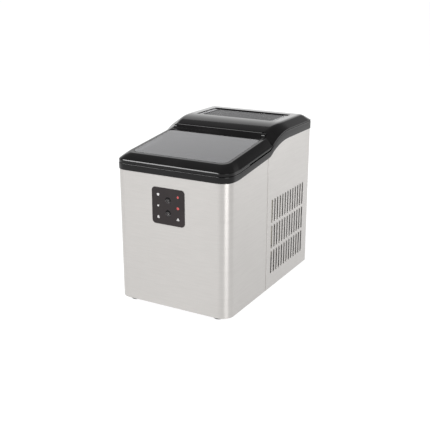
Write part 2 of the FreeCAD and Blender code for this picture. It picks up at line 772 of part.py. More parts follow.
# A ledge under the window's edge carries it.
ledge = window_inset(-1.5, 14, -glass_t, window_t + 1.6).cut(window_inset(4.0, 10, 5, 12))
lid_solid = lid_solid.fuse([ledge]).cut(bores).removeSplitter()
lid_solid = max(lid_solid.Solids, key=lambda item: item.Volume)
node("lid_frame", shape("lid", lid_solid))
node("lid_window", shape("window", window_inset(0.25, 12.8, 0.0, glass_t)))
pin_in = 9.5
hinge_pins = [across(pin_r, -ear_x - ear_t, -barrel_hl + pin_in),
              across(pin_r, barrel_hl - pin_in, ear_x + ear_t)]
node("hinge_pins", shape("pins", Part.makeCompound(hinge_pins)))

# ---------------------------------------------------------------- control panel
face_y = "(-dims.overall_d / 2 + dims.proud)"
panel = doc.addObject("PartDesign::Body", "panel_body")
panel_sketch = new_sketch(panel, "panel_outline", "XZ_Plane", "dims.panel_x", "dims.panel_z",
                          "dims.overall_d / 2 - dims.proud")
add_rect(panel_sketch, "dims.panel_w", "dims.panel_w")
panel_plate = pad(panel, "panel_plate", panel_sketch, "dims.panel_t")
doc.recompute()
corner_edges = ["Edge%d" % i for i, edge in enumerate(panel_plate.Shape.Edges, start=1)
                if abs(abs(edge.tangentAt(0).y) - 1) < 1e-6]
panel_round = panel.newObject("PartDesign::Fillet", "panel_round")
panel_round.Base = (panel_plate, corner_edges)
panel_round.setExpression("Radius", "dims.panel_r")
for i, side in enumerate((1, -1)):
    hole_sketch = new_sketch(panel, "button_hole_%d" % i, "XZ_Plane", "dims.panel_x",
                             "dims.panel_z + %d * dims.button_dz" % side, "dims.overall_d / 2 + 5")
    add_circle(hole_sketch, "dims.button_r + dims.slip")
    pocket(panel, "button_cut_%d" % i, hole_sketch, "20")
icon_spots = [(sx, row) for sx in (-1, 1) for row in (1, 0, -1)]
for i, (sx, row) in enumerate(icon_spots):
    hole_sketch = new_sketch(panel, "icon_hole_%d" % i, "XZ_Plane", "dims.panel_x + %d * dims.icon_dx" % sx,
                             "dims.panel_z + %d * dims.icon_dz" % row, "dims.overall_d / 2 + 5")
    add_circle(hole_sketch, "dims.icon_r + 0.1")
    pocket(panel, "icon_cut_%d" % i, hole_sketch, "20")
node("panel_overlay", panel)


def lens(name, sx, row):
    """Indicator window: a small plug flush with the overlay."""
    return rod(name, "dims.icon_r", "dims.panel_t + 3",
               "dims.panel_x + %d * dims.icon_dx" % sx, face_y + " - dims.panel_t",
               "dims.panel_z + %d * dims.icon_dz" % row, "y")


white_spots = [(-1, 1), (-1, 0), (-1, -1), (1, -1)]
red_spots = [(1, 1), (1, 0)]
node("white_indicators", fuse("white_set", *[lens("white_%d" % i, *s) for i, s in enumerate(white_spots)]))
node("red_indicators", fuse("red_set", *[lens("red_%d" % i, *s) for i, s in enumerate(red_spots)]))

# Each button is a domed cap with a flange behind the overlay, which keeps it in.
button_r = size("button_r")
flange_r = button_r + size("button_flange")
for label, side in (("power_button", 1), ("select_button", -1)):
    cap = doc.addObject("PartDesign::Body", label + "_body")
    outline = [(0.0, 0.0), (button_r * 0.55, -0.06), (button_r * 0.85, -0.22), (button_r, -0.6),
               (button_r, -2.4), (flange_r, -2.4), (flange_r, -4.2), (0.0, -4.2)]
    spin_profile(cap, label + "_turn", outline)
    cap.Placement = FreeCAD.Placement(V(0, 0, 0), FreeCAD.Rotation(V(1, 0, 0), 90))
    cap.setExpression("Placement.Base.x", "dims.panel_x")
    cap.setExpression("Placement.Base.y", "-dims.overall_d / 2")
    cap.setExpression("Placement.Base.z", "dims.panel_z + %d * dims.button_dz" % side)
    node(label, cap)

# Housing behind the overlay, board and switches.
px = "dims.panel_x"
pz = "dims.panel_z"


def square(name, inset, y0, y1):
    """Square block centred on the panel, inset from the housing's outside, between two depths."""
    half = "(dims.panel_w / 2 - dims.panel_lap - dims.slip - %s)" % inset
    return box(name, px + " - " + half, px + " + " + half, face_y + " + " + y0, face_y + " + " + y1,
               pz + " - " + half, pz + " + " + half)


housing_out = square("housing_out", "0", "0", "dims.housing_d")
housing_in = square("housing_in", "dims.housing_wall", "1.1", "dims.housing_d + 1")
housing_holes = []
for i, (sx, row) in enumerate(icon_spots):
    housing_holes.append(rod("housing_icon_%d" % i, "dims.icon_r + 0.1", "4", px + " + %d * dims.icon_dx" % sx,
                             face_y + " - 1", pz + " + %d * dims.icon_dz" % row, "y"))
for i, side in enumerate((1, -1)):
    housing_holes.append(rod("housing_button_%d" % i, "dims.button_r + dims.button_flange + dims.slip", "4", px,
                             face_y + " - 1", pz + " + %d * dims.button_dz" % side, "y"))
node("panel_housing", cut("housing", cut("housing_shell", housing_out, housing_in), *housing_holes))
node("control_board", square("board", "dims.housing_wall - 0.5", "dims.board_back",
                             "dims.board_back + dims.board_t"))
switches = []
for i, side in enumerate((1, -1)):
    z_mid = pz + " + %d * dims.button_dz" % side
    switches.append(box("switch_%d" % i, px + " - dims.switch_w / 2", px + " + dims.switch_w / 2",
                        face_y + " + dims.board_back - dims.switch_h", face_y + " + dims.board_back",
                        z_mid + " - dims.switch_w / 2", z_mid + " + dims.switch_w / 2"))
node("tact_switches", fuse("switch_set", *switches))

# ---------------------------------------------------------------- ice compartment
well_y0 = "dims.well_y0"
well_y1 = "dims.well_y1"
well_x = "dims.well_w / 2"
well_out = box("well_out", "-" + well_x, well_x, well_y0, well_y1, "dims.well_z0", "dims.well_z1")
well_round = round_edges("well_round", well_out, size("well_r"), V(0, 0, 1))
well_in = box("well_in", "-" + well_x + " + dims.wall", well_x + " - dims.wall", well_y0 + " + dims.wall",
              well_y1 + " - dims.wall", "dims.well_z0 + dims.wall", "dims.well_z1 + 5")
well_in_round = round_edges("well_in_round", well_in, size("well_r") - wall, V(0, 0, 1))
well_shell = cut("well_shell", well_round, well_in_round)
ledges = []
for i, side in enumerate((-1, 1)):
    inner = "%d * (dims.well_w / 2 - dims.wall - 16)" % side
    outer = "%d * (dims.well_w / 2 - 1)" % side
    first, second = (outer, inner) if side < 0 else (inner, outer)
    ledges.append(box("ledge_%d" % i, first, second, "dims.basket_y0 + 12", "dims.basket_y1",
                      "dims.basket_z0 - 10", "dims.basket_z0 - 0.1"))
well_solid = fuse("well_solid", well_shell, *ledges)
line_notch = box("line_notch", "-24", "24", well_y1 + " - 6", well_y1 + " + 6",
                 "dims.axle_z + 28", "dims.well_z1 + 5")
well_drain = rod("well_drain", "dims.hose_r + 0.2", "10", "-dims.hose_x", "dims.hose_y", "dims.well_z0 - 3")
fill_port = rod("fill_port", "dims.hose_r + 0.2", "10", "dims.hose_x", "dims.hose_y", "dims.well_z0 - 3")
node("water_reservoir", cut("reservoir", well_solid, line_notch, well_drain, fill_port))

foam_out = box("foam_out", "-" + well_x + " - dims.foam_t", well_x + " + dims.foam_t",
               well_y0 + " - dims.foam_t", well_y1 + " + dims.foam_t", "dims.well_z0 - 8", "dims.axle_z + 22")
foam_in = box("foam_in", "-" + well_x + " - dims.slip", well_x + " + dims.slip", well_y0 + " - dims.slip",
              well_y1 + " + dims.slip", "dims.well_z0 - dims.slip", "dims.well_z1")
foam_ports = []
for i, x_port in enumerate(("-dims.hose_x", "dims.hose_x")):
    foam_ports.append(rod("foam_port_%d" % i, "8", "20", x_port, "dims.hose_y", "dims.well_z0 - 15"))
# The jacket leaves room for the panel's housing, 1 mm clear of it all round.
foam_room = "(dims.panel_w / 2 - dims.panel_lap + 1)"
foam_pocket = box("foam_pocket", px + " - " + foam_room, px + " + " + foam_room,
                  well_y0 + " - dims.foam_t - 5", well_y0 + " - dims.slip",
                  pz + " - " + foam_room, pz + " + " + foam_room)
node("foam_jacket", cut("foam", foam_out, foam_in, foam_pocket, *foam_ports))

# Basket with slotted walls, a slotted floor and a rim.
bx = "dims.basket_w / 2"
by0 = "dims.basket_y0"
by1 = "dims.basket_y1"
bz0 = "dims.basket_z0"
bz1 = "dims.basket_z0 + dims.basket_h"
bt = "dims.basket_t"
basket_out = box("basket_out", "-" + bx, bx, by0, by1, bz0, bz1)
basket_out_r = round_edges("basket_out_r", basket_out, 12, V(0, 0, 1))
rim = box("basket_rim", "-" + bx + " - 3", bx + " + 3", by0 + " - 2", by1, bz1 + " - 3", bz1)
rim_r = round_edges("basket_rim_r", rim, 12, V(0, 0, 1))
basket_in = box("basket_in", "-" + bx + " + " + bt, bx + " - " + bt, by0 + " + " + bt, by1 + " - " + bt,
                bz0 + " + " + bt, bz1 + " + 5")
basket_in_r = round_edges("basket_in_r", basket_in, 10, V(0, 0, 1))
slot_w = 5.0
slot_pitch = 15.0
slot_n = 11
slots = []
for i in range(slot_n):
    x_slot = (i - (slot_n - 1) / 2) * slot_pitch - slot_w / 2
    slots.append(Part.makeBox(slot_w, 200, 62, V(x_slot, -220, size("basket_z0") + 20)))
    slots.append(Part.makeBox(slot_w, 62, 20, V(x_slot, size("basket_y0") + 14, size("basket_z0") - 5)))
slot_zone = Part.makeBox(400, size("basket_y1") - 6 + 300, 400, V(-200, -300, 0))
slots = [slot.common(slot_zone) for slot in slots]
node("ice_basket", cut("basket", cut("basket_shell", fuse("basket_body", basket_out_r, rim_r), basket_in_r),
                       shape("basket_slots", Part.makeCompound(slots))))

# ---------------------------------------------------------------- ice making unit
ay = size("axle_y")
az = size("axle_z")
axle_r = size("axle_r")
run = size("run")
tray_r = size("tray_r")
tray_t = size("tray_t")
tray_x0 = size("tray_x0")
tray_x1 = size("tray_x1")
rake_r = size("rake_r")
frame_t = size("frame_t")


def axle_cyl(radius, x0, x1):
    """Cylinder about the tray's axle between two stations."""
    return Part.makeCylinder(radius, x1 - x0, V(x0, ay, az), V(1, 0, 0))


def below_axle(x0, x1, reach):
    """Half space under the axle, as a box."""
    return Part.makeBox(x1 - x0, 2 * reach, reach, V(x0, ay - reach, az - reach))


hub_r = axle_r + 3.0
trough_solid = axle_cyl(tray_r + tray_t, tray_x0, tray_x1)
trough_solid = trough_solid.cut(axle_cyl(tray_r, tray_x0 + tray_t, tray_x1 - tray_t))
trough_solid = trough_solid.common(below_axle(tray_x0, tray_x1, 60))
left_x = tray_x0 - 4.0 - frame_t
right_x = tray_x1 + 4.0
stub_left = axle_cyl(axle_r, left_x, tray_x0 + 0.5)
stub_right = axle_cyl(axle_r, tray_x1 - 0.5, right_x + frame_t + 9)
hub_left = axle_cyl(hub_r, tray_x0, tray_x0 + tray_t)
hub_right = axle_cyl(hub_r, tray_x1 - tray_t, tray_x1)
tray_solid = trough_solid.fuse([stub_left, stub_right, hub_left, hub_right])
node("water_tray", shape("tray", tray_solid.removeSplitter()))

# Rake: an arc of teeth outside the tray, on two arms that turn about the same axle.
arm_t = 2.2
rake_x0 = tray_x0 - 2.8
rake_x1 = tray_x1 + 2.8
arm_xs = (rake_x0, rake_x1 - arm_t)
fan_out = 60.0          # radius that reaches past the rake


def wedge(angles):
    """Slice about the axle between the first and the last angle, in degrees above level."""
    rim = [(ay + fan_out * math.cos(math.radians(a)), az + fan_out * math.sin(math.radians(a))) for a in angles]
    points = [V(-150, ay, az)] + [V(-150, y, z) for y, z in rim]
    return Part.Face(Part.makePolygon(points + [points[0]])).extrude(V(300, 0, 0))


sector = wedge((-2, -20, -40, -60))
rim_band = axle_cyl(rake_r + 2, rake_x0, rake_x1).cut(axle_cyl(rake_r, tray_x0 - 1, tray_x1 + 1))
tooth_gaps = [Part.makeBox(6, fan_out, fan_out, V(x, ay, az - fan_out)) for x in range(-76, 30, 12)]
tooth_zone = wedge((-18, -40, -60, -80))
teeth = rim_band.common(sector).cut(Part.makeCompound(tooth_gaps).common(tooth_zone))
arm_set = []
for x_arm in arm_xs:
    arm = axle_cyl(rake_r + 2, x_arm, x_arm + arm_t).common(sector)
    arm_set.append(arm.fuse(axle_cyl(hub_r, x_arm, x_arm + arm_t)))
rake_solid = teeth.fuse(arm_set).cut(axle_cyl(axle_r + run, tray_x0 - 6, tray_x1 + 6)).removeSplitter()
node("ice_rake", shape("rake", rake_solid))

# Unit frame: two cheeks with bearings, a top plate and a back edge on the well's rear wall.
pad_t = 1.4
frame_y0 = -62.0
frame_y1 = size("well_y1") - wall - pad_t
frame_z0 = az - 38.0
frame_z1 = size("well_z1") - 6.0
frame_d = frame_y1 - frame_y0
frame_w = right_x + frame_t - left_x
frame_parts = [Part.makeBox(frame_w, frame_d, frame_t, V(left_x, frame_y0, frame_z1 - frame_t))]
for x_cheek in (left_x, right_x):
    frame_parts.append(Part.makeBox(frame_t, frame_d, frame_z1 - frame_z0, V(x_cheek, frame_y0, frame_z0)))
# Two pads reach the well's rear wall.
for x_pad in (left_x + 20, right_x - 18):
    frame_parts.append(Part.makeBox(16, pad_t + 2.6, 12, V(x_pad, frame_y1 - 2.6, frame_z1 - 12)))
frame_cuts = [
    axle_cyl(axle_r + run, left_x - 1, right_x + frame_t + 1),
    Part.makeBox(48, 12, 12, V(-24, frame_y1 - 10, frame_z1 - 14)),
    Part.makeCylinder(4.6, 20, V(28, 2, frame_z1 - 10)),
]
node("unit_frame", shape("unit", frame_parts[0].fuse(frame_parts[1:]).cut(frame_cuts).removeSplitter()))

motor_x = right_x + frame_t + 0.5
motor = Part.makeBox(26, 34, 30, V(motor_x, ay - 17, az - 15))
motor = motor.fuse(Part.makeCylinder(13, 12, V(motor_x + 25.5, ay, az), V(1, 0, 0)))
motor = motor.cut(axle_cyl(axle_r + run, right_x, right_x + frame_t + 10))
node("tray_motor", shape("tray_drive", motor.removeSplitter()))

# Evaporator: a flat tube block with nine hanging fingers and its two line ends.
block_z = az + 30.0
evap = Part.makeBox(112, 30, 8, V(-80, ay - 15, block_z))
evap = evap.makeFillet(2.5, evap.Edges)
finger_r = size("finger_r")
finger_drop = 19.0
fingers = []
for i in range(5):
    fingers.append((-72.0 + i * size("finger_pitch"), ay + size("finger_row")))
for i in range(4):
    fingers.append((-60.0 + i * size("finger_pitch"), ay - size("finger_row")))
finger_set = []
for x_finger, y_finger in fingers:
    tip = V(x_finger, y_finger, az - finger_drop)
    finger = Part.makeCylinder(finger_r, block_z - az + finger_drop + 1, tip)
    finger = finger.fuse(Part.makeSphere(finger_r, tip))
    finger_set.append(finger)
node("evaporator", shape("evaporator_block", evap.fuse(finger_set).removeSplitter()))

# ---------------------------------------------------------------- machine compartment
floor_z = foot_h + 2.0
comp_x = size("comp_x")
comp_y = size("comp_y") * K_D
comp_r = size("comp_r")
comp_h = size("comp_h")
can_z = 26.0
plate_z = 22.0
plate_t = 3.0
can_top = can_z + comp_h
bead_z = 80.0
can = [(0, can_z), (comp_r * 0.7, can_z), (comp_r, can_z + 12), (comp_r, bead_z), (comp_r + 2, bead_z + 1),
       (comp_r + 2, bead_z + 4), (comp_r, bead_z + 5), (comp_r, can_top - 26), (comp_r * 0.8, can_top - 9),
       (comp_r * 0.4, can_top), (0, can_top)]
can_solid = copies(turned(can), [(comp_x, comp_y)])
comp_plate = Part.makeBox(112, 84, plate_t, V(comp_x - 56, comp_y - 42, plate_z))
comp_spots = [(comp_x + sx * 50, comp_y + sy * 36) for sx in (-1, 1) for sy in (-1, 1)]
comp_solid = comp_plate.fuse([Part.makeCylinder(36, 6, V(comp_x, comp_y, plate_z + 2)), can_solid.Solids[0]])
suction_x = comp_x - 29
suction_y = comp_y - 17
discharge_y = comp_y + 25
stub_z = 168.0
stub_l = 30.0
comp_solid = comp_solid.fuse([Part.makeCylinder(3.8, stub_l, V(suction_x, suction_y, stub_z - stub_l)),
                              Part.makeCylinder(3.2, stub_l, V(comp_x, discharge_y, stub_z - stub_l))])
comp_solid = comp_solid.cut([Part.makeCylinder(4.1, 20, V(x, y, plate_z - 7)) for x, y in comp_spots])
node("compressor", shape("compressor_can", comp_solid.removeSplitter()))
plate_top = plate_z + plate_t
grommet_top = plate_top + 2.5
grommet_profile = [(2.3, floor_z), (8, floor_z), (8, plate_z - 0.2), (3.9, plate_z - 0.2),
                   (3.9, plate_top + 0.4), (6, plate_top + 0.4), (6, grommet_top), (2.3, grommet_top)]
node("compressor_grommets", shape("grommets", copies(turned(grommet_profile), comp_spots)))
head_low = grommet_top + 0.2
bolt_profile = [(0, floor_z), (2.1, floor_z), (2.1, head_low), (5, head_low), (5, head_low + 3.3),
                (0, head_low + 3.3)]
node("compressor_bolts", shape("bolts", copies(turned(bolt_profile), comp_spots)))

fan_y = size("fan_y") * K_D
fan_z = size("fan_z")
fan_r = size("fan_r")
fan_x = size("fan_x")
shroud_x = fan_x - 4.0
shroud_d = 16.0
shroud_half = 56.0
spoke_t = 3.0
spoke_w = 5.0
spoke_l = 2 * fan_r + 8
fan_motor_r = 12.0
fan_shaft_r = 2.0


def fan_cyl(radius, length, x0):
    """Cylinder about the fan's shaft."""
    return Part.makeCylinder(radius, length, V(x0, fan_y, fan_z), V(1, 0, 0))


shroud = Part.makeBox(shroud_d, 2 * shroud_half, 2 * shroud_half, V(shroud_x, fan_y - shroud_half,
                                                                    fan_z - shroud_half))
shroud = shroud.cut(fan_cyl(fan_r + 3, 30, fan_x - 10))
spokes = [Part.makeBox(spoke_t, spoke_l, spoke_w, V(shroud_x, fan_y - spoke_l / 2, fan_z - spoke_w / 2)),
          Part.makeBox(spoke_t, spoke_w, spoke_l, V(shroud_x, fan_y - spoke_w / 2, fan_z - spoke_l / 2))]
leg_h = fan_z - shroud_half - floor_z
legs = Part.makeBox(shroud_d, 2 * shroud_half, leg_h + 0.5, V(shroud_x, fan_y - shroud_half, floor_z))
legs = legs.cut(Part.makeBox(30, 90, leg_h - 10, V(fan_x - 10, fan_y - 45, floor_z - 1)))
shroud = shroud.fuse(spokes + [fan_cyl(fan_motor_r + 2, spoke_t, shroud_x), legs])
shroud = shroud.cut(fan_cyl(fan_motor_r + 0.1, 10, fan_x - 8))
node("fan_shroud", shape("fan_frame", shroud.removeSplitter()))
fan_motor = fan_cyl(fan_motor_r, 22, fan_x - 22).fuse(fan_cyl(fan_shaft_r, 8, fan_x - 2))
node("fan_motor", shape("fan_drive", fan_motor.removeSplitter()))
blade_n = 7
blade_t = 1.4
blade_set = []
for i in range(blade_n):
    blade = Part.makeBox(blade_t, 20, fan_r - 12, V(-blade_t / 2, -10, 11))
    blade.rotate(V(0, 0, 0), V(0, 0, 1), 32)
    blade.rotate(V(0, 0, 0), V(1, 0, 0), 360.0 / blade_n * i)
    blade.translate(V(fan_x + 6, fan_y, fan_z))
    blade_set.append(blade)
rotor = fan_cyl(13, 11, fan_x + 0.5).fuse(blade_set).cut(fan_cyl(fan_shaft_r + run, 20, fan_x - 2))
node("fan_rotor", shape("fan_wheel", rotor.removeSplitter()))

# Condenser: fin pack between two end plates on a serpentine tube.
cond_x0 = fan_x + 13.5
cond_x1 = steel_hw - sheet_t - 8
cond_w = cond_x1 - cond_x0
cond_z0 = 37.0
cond_z1 = 188.0
fins = [Part.makeBox(cond_w, 104, 0.8, V(cond_x0, fan_y - 52, cond_z0 + 3 + i * 4.0)) for i in range(37)]
tubes = []
for i in range(6):
    tubes.append(Part.makeBox(5, 5, 150, V((cond_x0 + cond_x1) / 2 - 2.5, fan_y - 46 + i * 18, cond_z0 + 1)))
plates = [Part.makeBox(cond_w, 106, 1.6, V(cond_x0, fan_y - 53, z)) for z in (cond_z0, cond_z1)]
cond_feet = Part.makeBox(6, 106, cond_z0 - floor_z, V(cond_x0, fan_y - 53, floor_z))
node("condenser", shape("fin_pack", plates[0].fuse(tubes + fins + [plates[1], cond_feet]).removeSplitter()))


def pipe(name, points, r_out, r_in, bend):
    """Tube along a polyline with rounded corners."""
    edges = []
    start = points[0]
    for i in range(1, len(points) - 1):
        before = (points[i - 1] - points[i]).normalize()
        after = (points[i + 1] - points[i]).normalize()
        half = before.getAngle(after) / 2
        reach = bend / math.tan(half)
        p0 = points[i] + before * reach
        p1 = points[i] + after * reach
        middle = points[i] + (before + after).normalize() * (bend / math.sin(half) - bend)
        edges.append(Part.makeLine(start, p0))
        edges.append(Part.Arc(p0, middle, p1).toShape())
        start = p1
    edges.append(Part.makeLine(start, points[-1]))
    spine = Part.Wire(edges)
    along = (points[1] - points[0]).normalize()
    solids = []
    for radius in (r_out, r_in):
        if radius > 0:
            ring = Part.Wire([Part.makeCircle(radius, points[0], along)])
            solids.append(spine.makePipeShell([ring], True, True))
    return shape(name, solids[0].cut(solids[1]) if r_in > 0 else solids[0])


hose_r = size("hose_r")
hose_bore = size("hose_bore")
hose_z = size("hose_z")
hose_x = size("hose_x")
hose_y = size("hose_y")
line_r = size("line_r")
line_bore = size("line_bore")
line_y = ay + 15.2      # just behind the evaporator block
line_z = block_z + 4.0
turn_z = 215.0
suction_path = [V(-8, line_y, line_z), V(-8, 34, line_z), V(-8, 34, turn_z), V(suction_x, 34, turn_z),
                V(suction_x, suction_y, turn_z), V(suction_x, suction_y, stub_z + 0.1)]
node("suction_line", pipe("suction", suction_path, size("suction_r"), size("suction_bore"), 7))
valve_x = 30.0
valve_y0 = 70.2
valve_z = 196.0
liquid_path = [V(8, line_y, line_z), V(8, 42, line_z), V(8, 42, valve_z + 9), V(valve_x, 42, valve_z + 9),
               V(valve_x, valve_y0 - 0.2, valve_z + 9)]
node("liquid_line", pipe("liquid", liquid_path, line_r, line_bore, 6))
valve_body = Part.makeBox(24, 22, 18, V(valve_x - 12, valve_y0, valve_z))
valve_coil = Part.makeCylinder(9, 22, V(valve_x, valve_y0 + 10.8, valve_z + 18))
node("hot_gas_valve", shape("valve", valve_body.fuse(valve_coil)))
drop_z = 178.0
discharge_path = [V(valve_x, valve_y0 + 22.2, valve_z + 9), V(valve_x, discharge_y, valve_z + 9),
                  V(valve_x, discharge_y, drop_z), V(comp_x, discharge_y, drop_z),
                  V(comp_x, discharge_y, stub_z + 0.1)]
node("discharge_line", pipe("discharge", discharge_path, line_r, line_bore, 4.5))
drier_x = 38.0
drier_y = 152.0
drier = Part.makeCylinder(9, 58, V(drier_x, drier_y, 110)).fuse([
    Part.makeCone(9, 3, 10, V(drier_x, drier_y, 168)), Part.makeCone(3, 9, 10, V(drier_x, drier_y, 100))])
node("filter_drier", shape("drier", drier))
pump_x = 46.0
pump_y = 55.0
pump_body = Part.makeCylinder(16, 30, V(pump_x, pump_y, floor_z)).fuse([
    Part.makeCylinder(20, 9, V(pump_x, pump_y, floor_z + 30)),
    Part.makeCylinder(4, 8, V(pump_x, pump_y, floor_z + 39)),
])
node("water_pump", shape("pump", pump_body.removeSplitter()))
hose_top = size("well_z0") + 0.4
supply_path = [V(hose_x, hose_y, hose_top), V(hose_x, hose_y, hose_z), V(hose_x, 8, hose_z),
               V(pump_x, 8, hose_z), V(pump_x, pump_y - 16.2, hose_z)]
node("supply_hose", pipe("supply", supply_path, hose_r, hose_bore, 6))
fill_z = 243.0
fill_x = 16.5
fill_path = [V(pump_x, pump_y, floor_z + 47.4), V(pump_x, pump_y, fill_z), V(fill_x, pump_y, fill_z),
             V(fill_x, 12, fill_z)]
node("fill_hose", pipe("fill", fill_path, hose_r, hose_bore, 9))
tap_y = steel_y1 - 30
drain_path = [V(-hose_x, hose_y, hose_top), V(-hose_x, hose_y, hose_z), V(-103, hose_y, hose_z),
              V(-103, tap_y, hose_z), V(drain_x - 7.2, tap_y, hose_z)]
node("drain_hose", pipe("drain", drain_path, hose_r, hose_bore, 6))


def back_rod(radius, length, x, y0):
    """Cylinder that runs to the back at the height of the ports."""
    return Part.makeCylinder(radius, length, V(x, y0, port_z), V(0, 1, 0))


plug_r = size("plug_r")
port_in = 35.0          # how far the port's tube reaches in
port = back_rod(port_r, 10, drain_x, steel_y1 - 10).fuse(back_rod(7, 26, drain_x, steel_y1 - port_in))
tap_bore = Part.makeCylinder(3.0, 30, V(drain_x - 30, tap_y, port_z), V(1, 0, 0))
port = port.cut([back_rod(plug_r, 60, drain_x, steel_y1 - port_in + 1.6), tap_bore])
node("drain_port", shape("port", port.removeSplitter()))
plug = back_rod(plug_r - run, 18.5, drain_x, steel_y1 - 18).fuse(
    back_rod(port_r - 0.4, proud - 0.1, drain_x, steel_y1 + 0.1))
node("drain_plug", shape("plug", plug.removeSplitter()))
gland = back_rod(gland_r + 2, 14, gland_x, steel_y1 - sheet_t - 14).fuse([
    back_rod(gland_r, 3, gland_x, steel_y1 - 2),
    back_rod(gland_r + 3.5, proud - 0.05, gland_x, steel_y1 + 0.05)])
gland = gland.cut(back_rod(3.6, 40, gland_x, steel_y1 - 30))
node("cord_gland", shape("gland", gland.removeSplitter()))

# Power board on a bracket behind the foam, with its main components.
bracket_x = -100.0
bracket_y = 160.0
bracket_z = 186.0
bracket = Part.makeBox(96, 2, 92, V(bracket_x, bracket_y, bracket_z + 2)).fuse(
    Part.makeBox(96, 14, 2, V(bracket_x, bracket_y, bracket_z)))
node("board_bracket", shape("bracket", bracket.removeSplitter()))
spacer_l = 3.4
board_y = bracket_y - spacer_l          # back face of the power board
board_x = bracket_x + 4.0
board_z = bracket_z + 8.0
power_t = 1.6
power_parts = [
    Part.makeBox(24, 20, 22, V(board_x + 6, board_y - power_t - 19.5, board_z + 6)),
    Part.makeBox(18, 14, 14, V(board_x + 36, board_y - power_t - 13.5, board_z + 10)),
    Part.makeCylinder(8, 22, V(board_x + 66, board_y - power_t + 0.5, board_z + 21), V(0, -1, 0)),
    Part.makeCylinder(6, 18, V(board_x + 66, board_y - power_t + 0.5, board_z + 46), V(0, -1, 0)),
]
power_plate = Part.makeBox(88, power_t, 80, V(board_x, board_y - power_t, board_z))
node("power_board", shape("power_pcb", power_plate.fuse(power_parts)))
spacer_set = []
for x_spacer in (board_x + 4, board_x + 84):
    for z_spacer in (board_z + 4, board_z + 76):
        spacer_set.append(Part.makeCylinder(3, spacer_l, V(x_spacer, board_y, z_spacer), V(0, 1, 0)))
node("board_spacers", shape("spacers", Part.makeCompound(spacer_set)))
sensors = []
for x_sensor in (left_x - 6.0, right_x + frame_t):
    sensors.append(Part.makeBox(6, 10, 16, V(x_sensor, -60, az + 18)))
node("ice_sensors", shape("sensors", Part.makeCompound(sensors)))

# ---------------------------------------------------------------- check and write
doc.recompute()
for obj in doc.Objects:
    if any(state in ("Invalid", "Error") for state in obj.State):
        raise RuntimeError("%s is %s" % (obj.Label, obj.State))
for label, obj in NODES.items():
    if obj.Shape.isNull() or not obj.Shape.isValid():
        raise RuntimeError("bad shape: " + label)
os.makedirs("parts", exist_ok=True)
for label, obj in NODES.items():
    obj.Shape.exportStep("parts/%s.step" % label)
    bound = obj.Shape.BoundBox
    print("%-20s solids %2d  x %.1f %.1f  y %.1f %.1f  z %.1f %.1f" % (
        label, len(obj.Shape.Solids), bound.XMin, bound.XMax, bound.YMin, bound.YMax, bound.ZMin, bound.ZMax))
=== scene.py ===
"""Looks for a countertop ice maker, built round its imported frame.

Lengths inside the shape classes are in millimetres and become metres when a mesh is made.
The case faces -Y, +X is its right side seen from the front, and it stands on z = 0.
"""
import logging
import math
from dataclasses import dataclass, field
from enum import Enum
from typing import Callable, Iterable, Sequence

import bpy
import numpy as np
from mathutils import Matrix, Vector


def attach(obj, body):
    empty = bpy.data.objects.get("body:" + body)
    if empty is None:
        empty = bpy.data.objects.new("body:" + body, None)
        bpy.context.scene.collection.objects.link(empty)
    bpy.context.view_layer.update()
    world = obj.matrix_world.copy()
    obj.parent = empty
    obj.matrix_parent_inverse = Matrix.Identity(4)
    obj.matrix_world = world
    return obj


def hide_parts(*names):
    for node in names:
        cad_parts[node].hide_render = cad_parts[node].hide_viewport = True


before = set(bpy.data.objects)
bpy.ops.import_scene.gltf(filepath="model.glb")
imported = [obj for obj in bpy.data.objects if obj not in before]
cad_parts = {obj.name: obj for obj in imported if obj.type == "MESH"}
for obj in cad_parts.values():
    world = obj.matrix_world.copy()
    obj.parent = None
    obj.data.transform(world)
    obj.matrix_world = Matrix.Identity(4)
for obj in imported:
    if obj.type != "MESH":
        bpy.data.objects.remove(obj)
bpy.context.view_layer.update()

MM = 0.001
LOG = logging.getLogger("ice_maker")
Array = np.ndarray
Height = Callable[[Array, Array], Array]
SHARP = 34.0  # edges that turn by more degrees than this stay crisp


class Axis(Enum):
    """Axis of a turned piece: the places of its two cross directions and of its length."""

    X = (1, 2, 0)
    Y = (2, 0, 1)
    Z = (0, 1, 2)


# ------------------------------------------------------------------ sizes shared by the shell pieces
@dataclass(frozen=True)
class CaseSizes:
    """Sizes of the shell in millimetres, as the solids have them."""

    half_w: float = 121.0
    half_d: float = 179.0
    top: float = 328.0
    foot_h: float = 6.0
    proud: float = 1.2
    wall: float = 2.4
    front_r: float = 24.0
    rear_r: float = 4.0
    collar_z: float = 259.6
    collar_h: float = 12.4
    ridge_h: float = 7.4
    rear_lip_low: float = 297.5
    rear_lip_high: float = 314.0
    lid_z: float = 286.0
    lid_slope: float = 0.125
    lid_rear_y: float = -4.0
    crease_side: float = 107.0
    crease_front: float = -158.0
    hinge_y: float = 4.0
    hinge_z: float = 309.0
    seam_y: float = -19.0
    rise_y: float = -138.0
    rise: float = 0.122
    wave_y: float = -15.0
    wave_l: float = 88.0
    wave_power: float = 2.15
    wave_soft: float = 0.55
    wave_soft_u: float = 0.16

    @property
    def band_top(self) -> float:
        """Upper edge of the collar at the front."""
        return self.collar_z + self.collar_h


SIZE = CaseSizes()


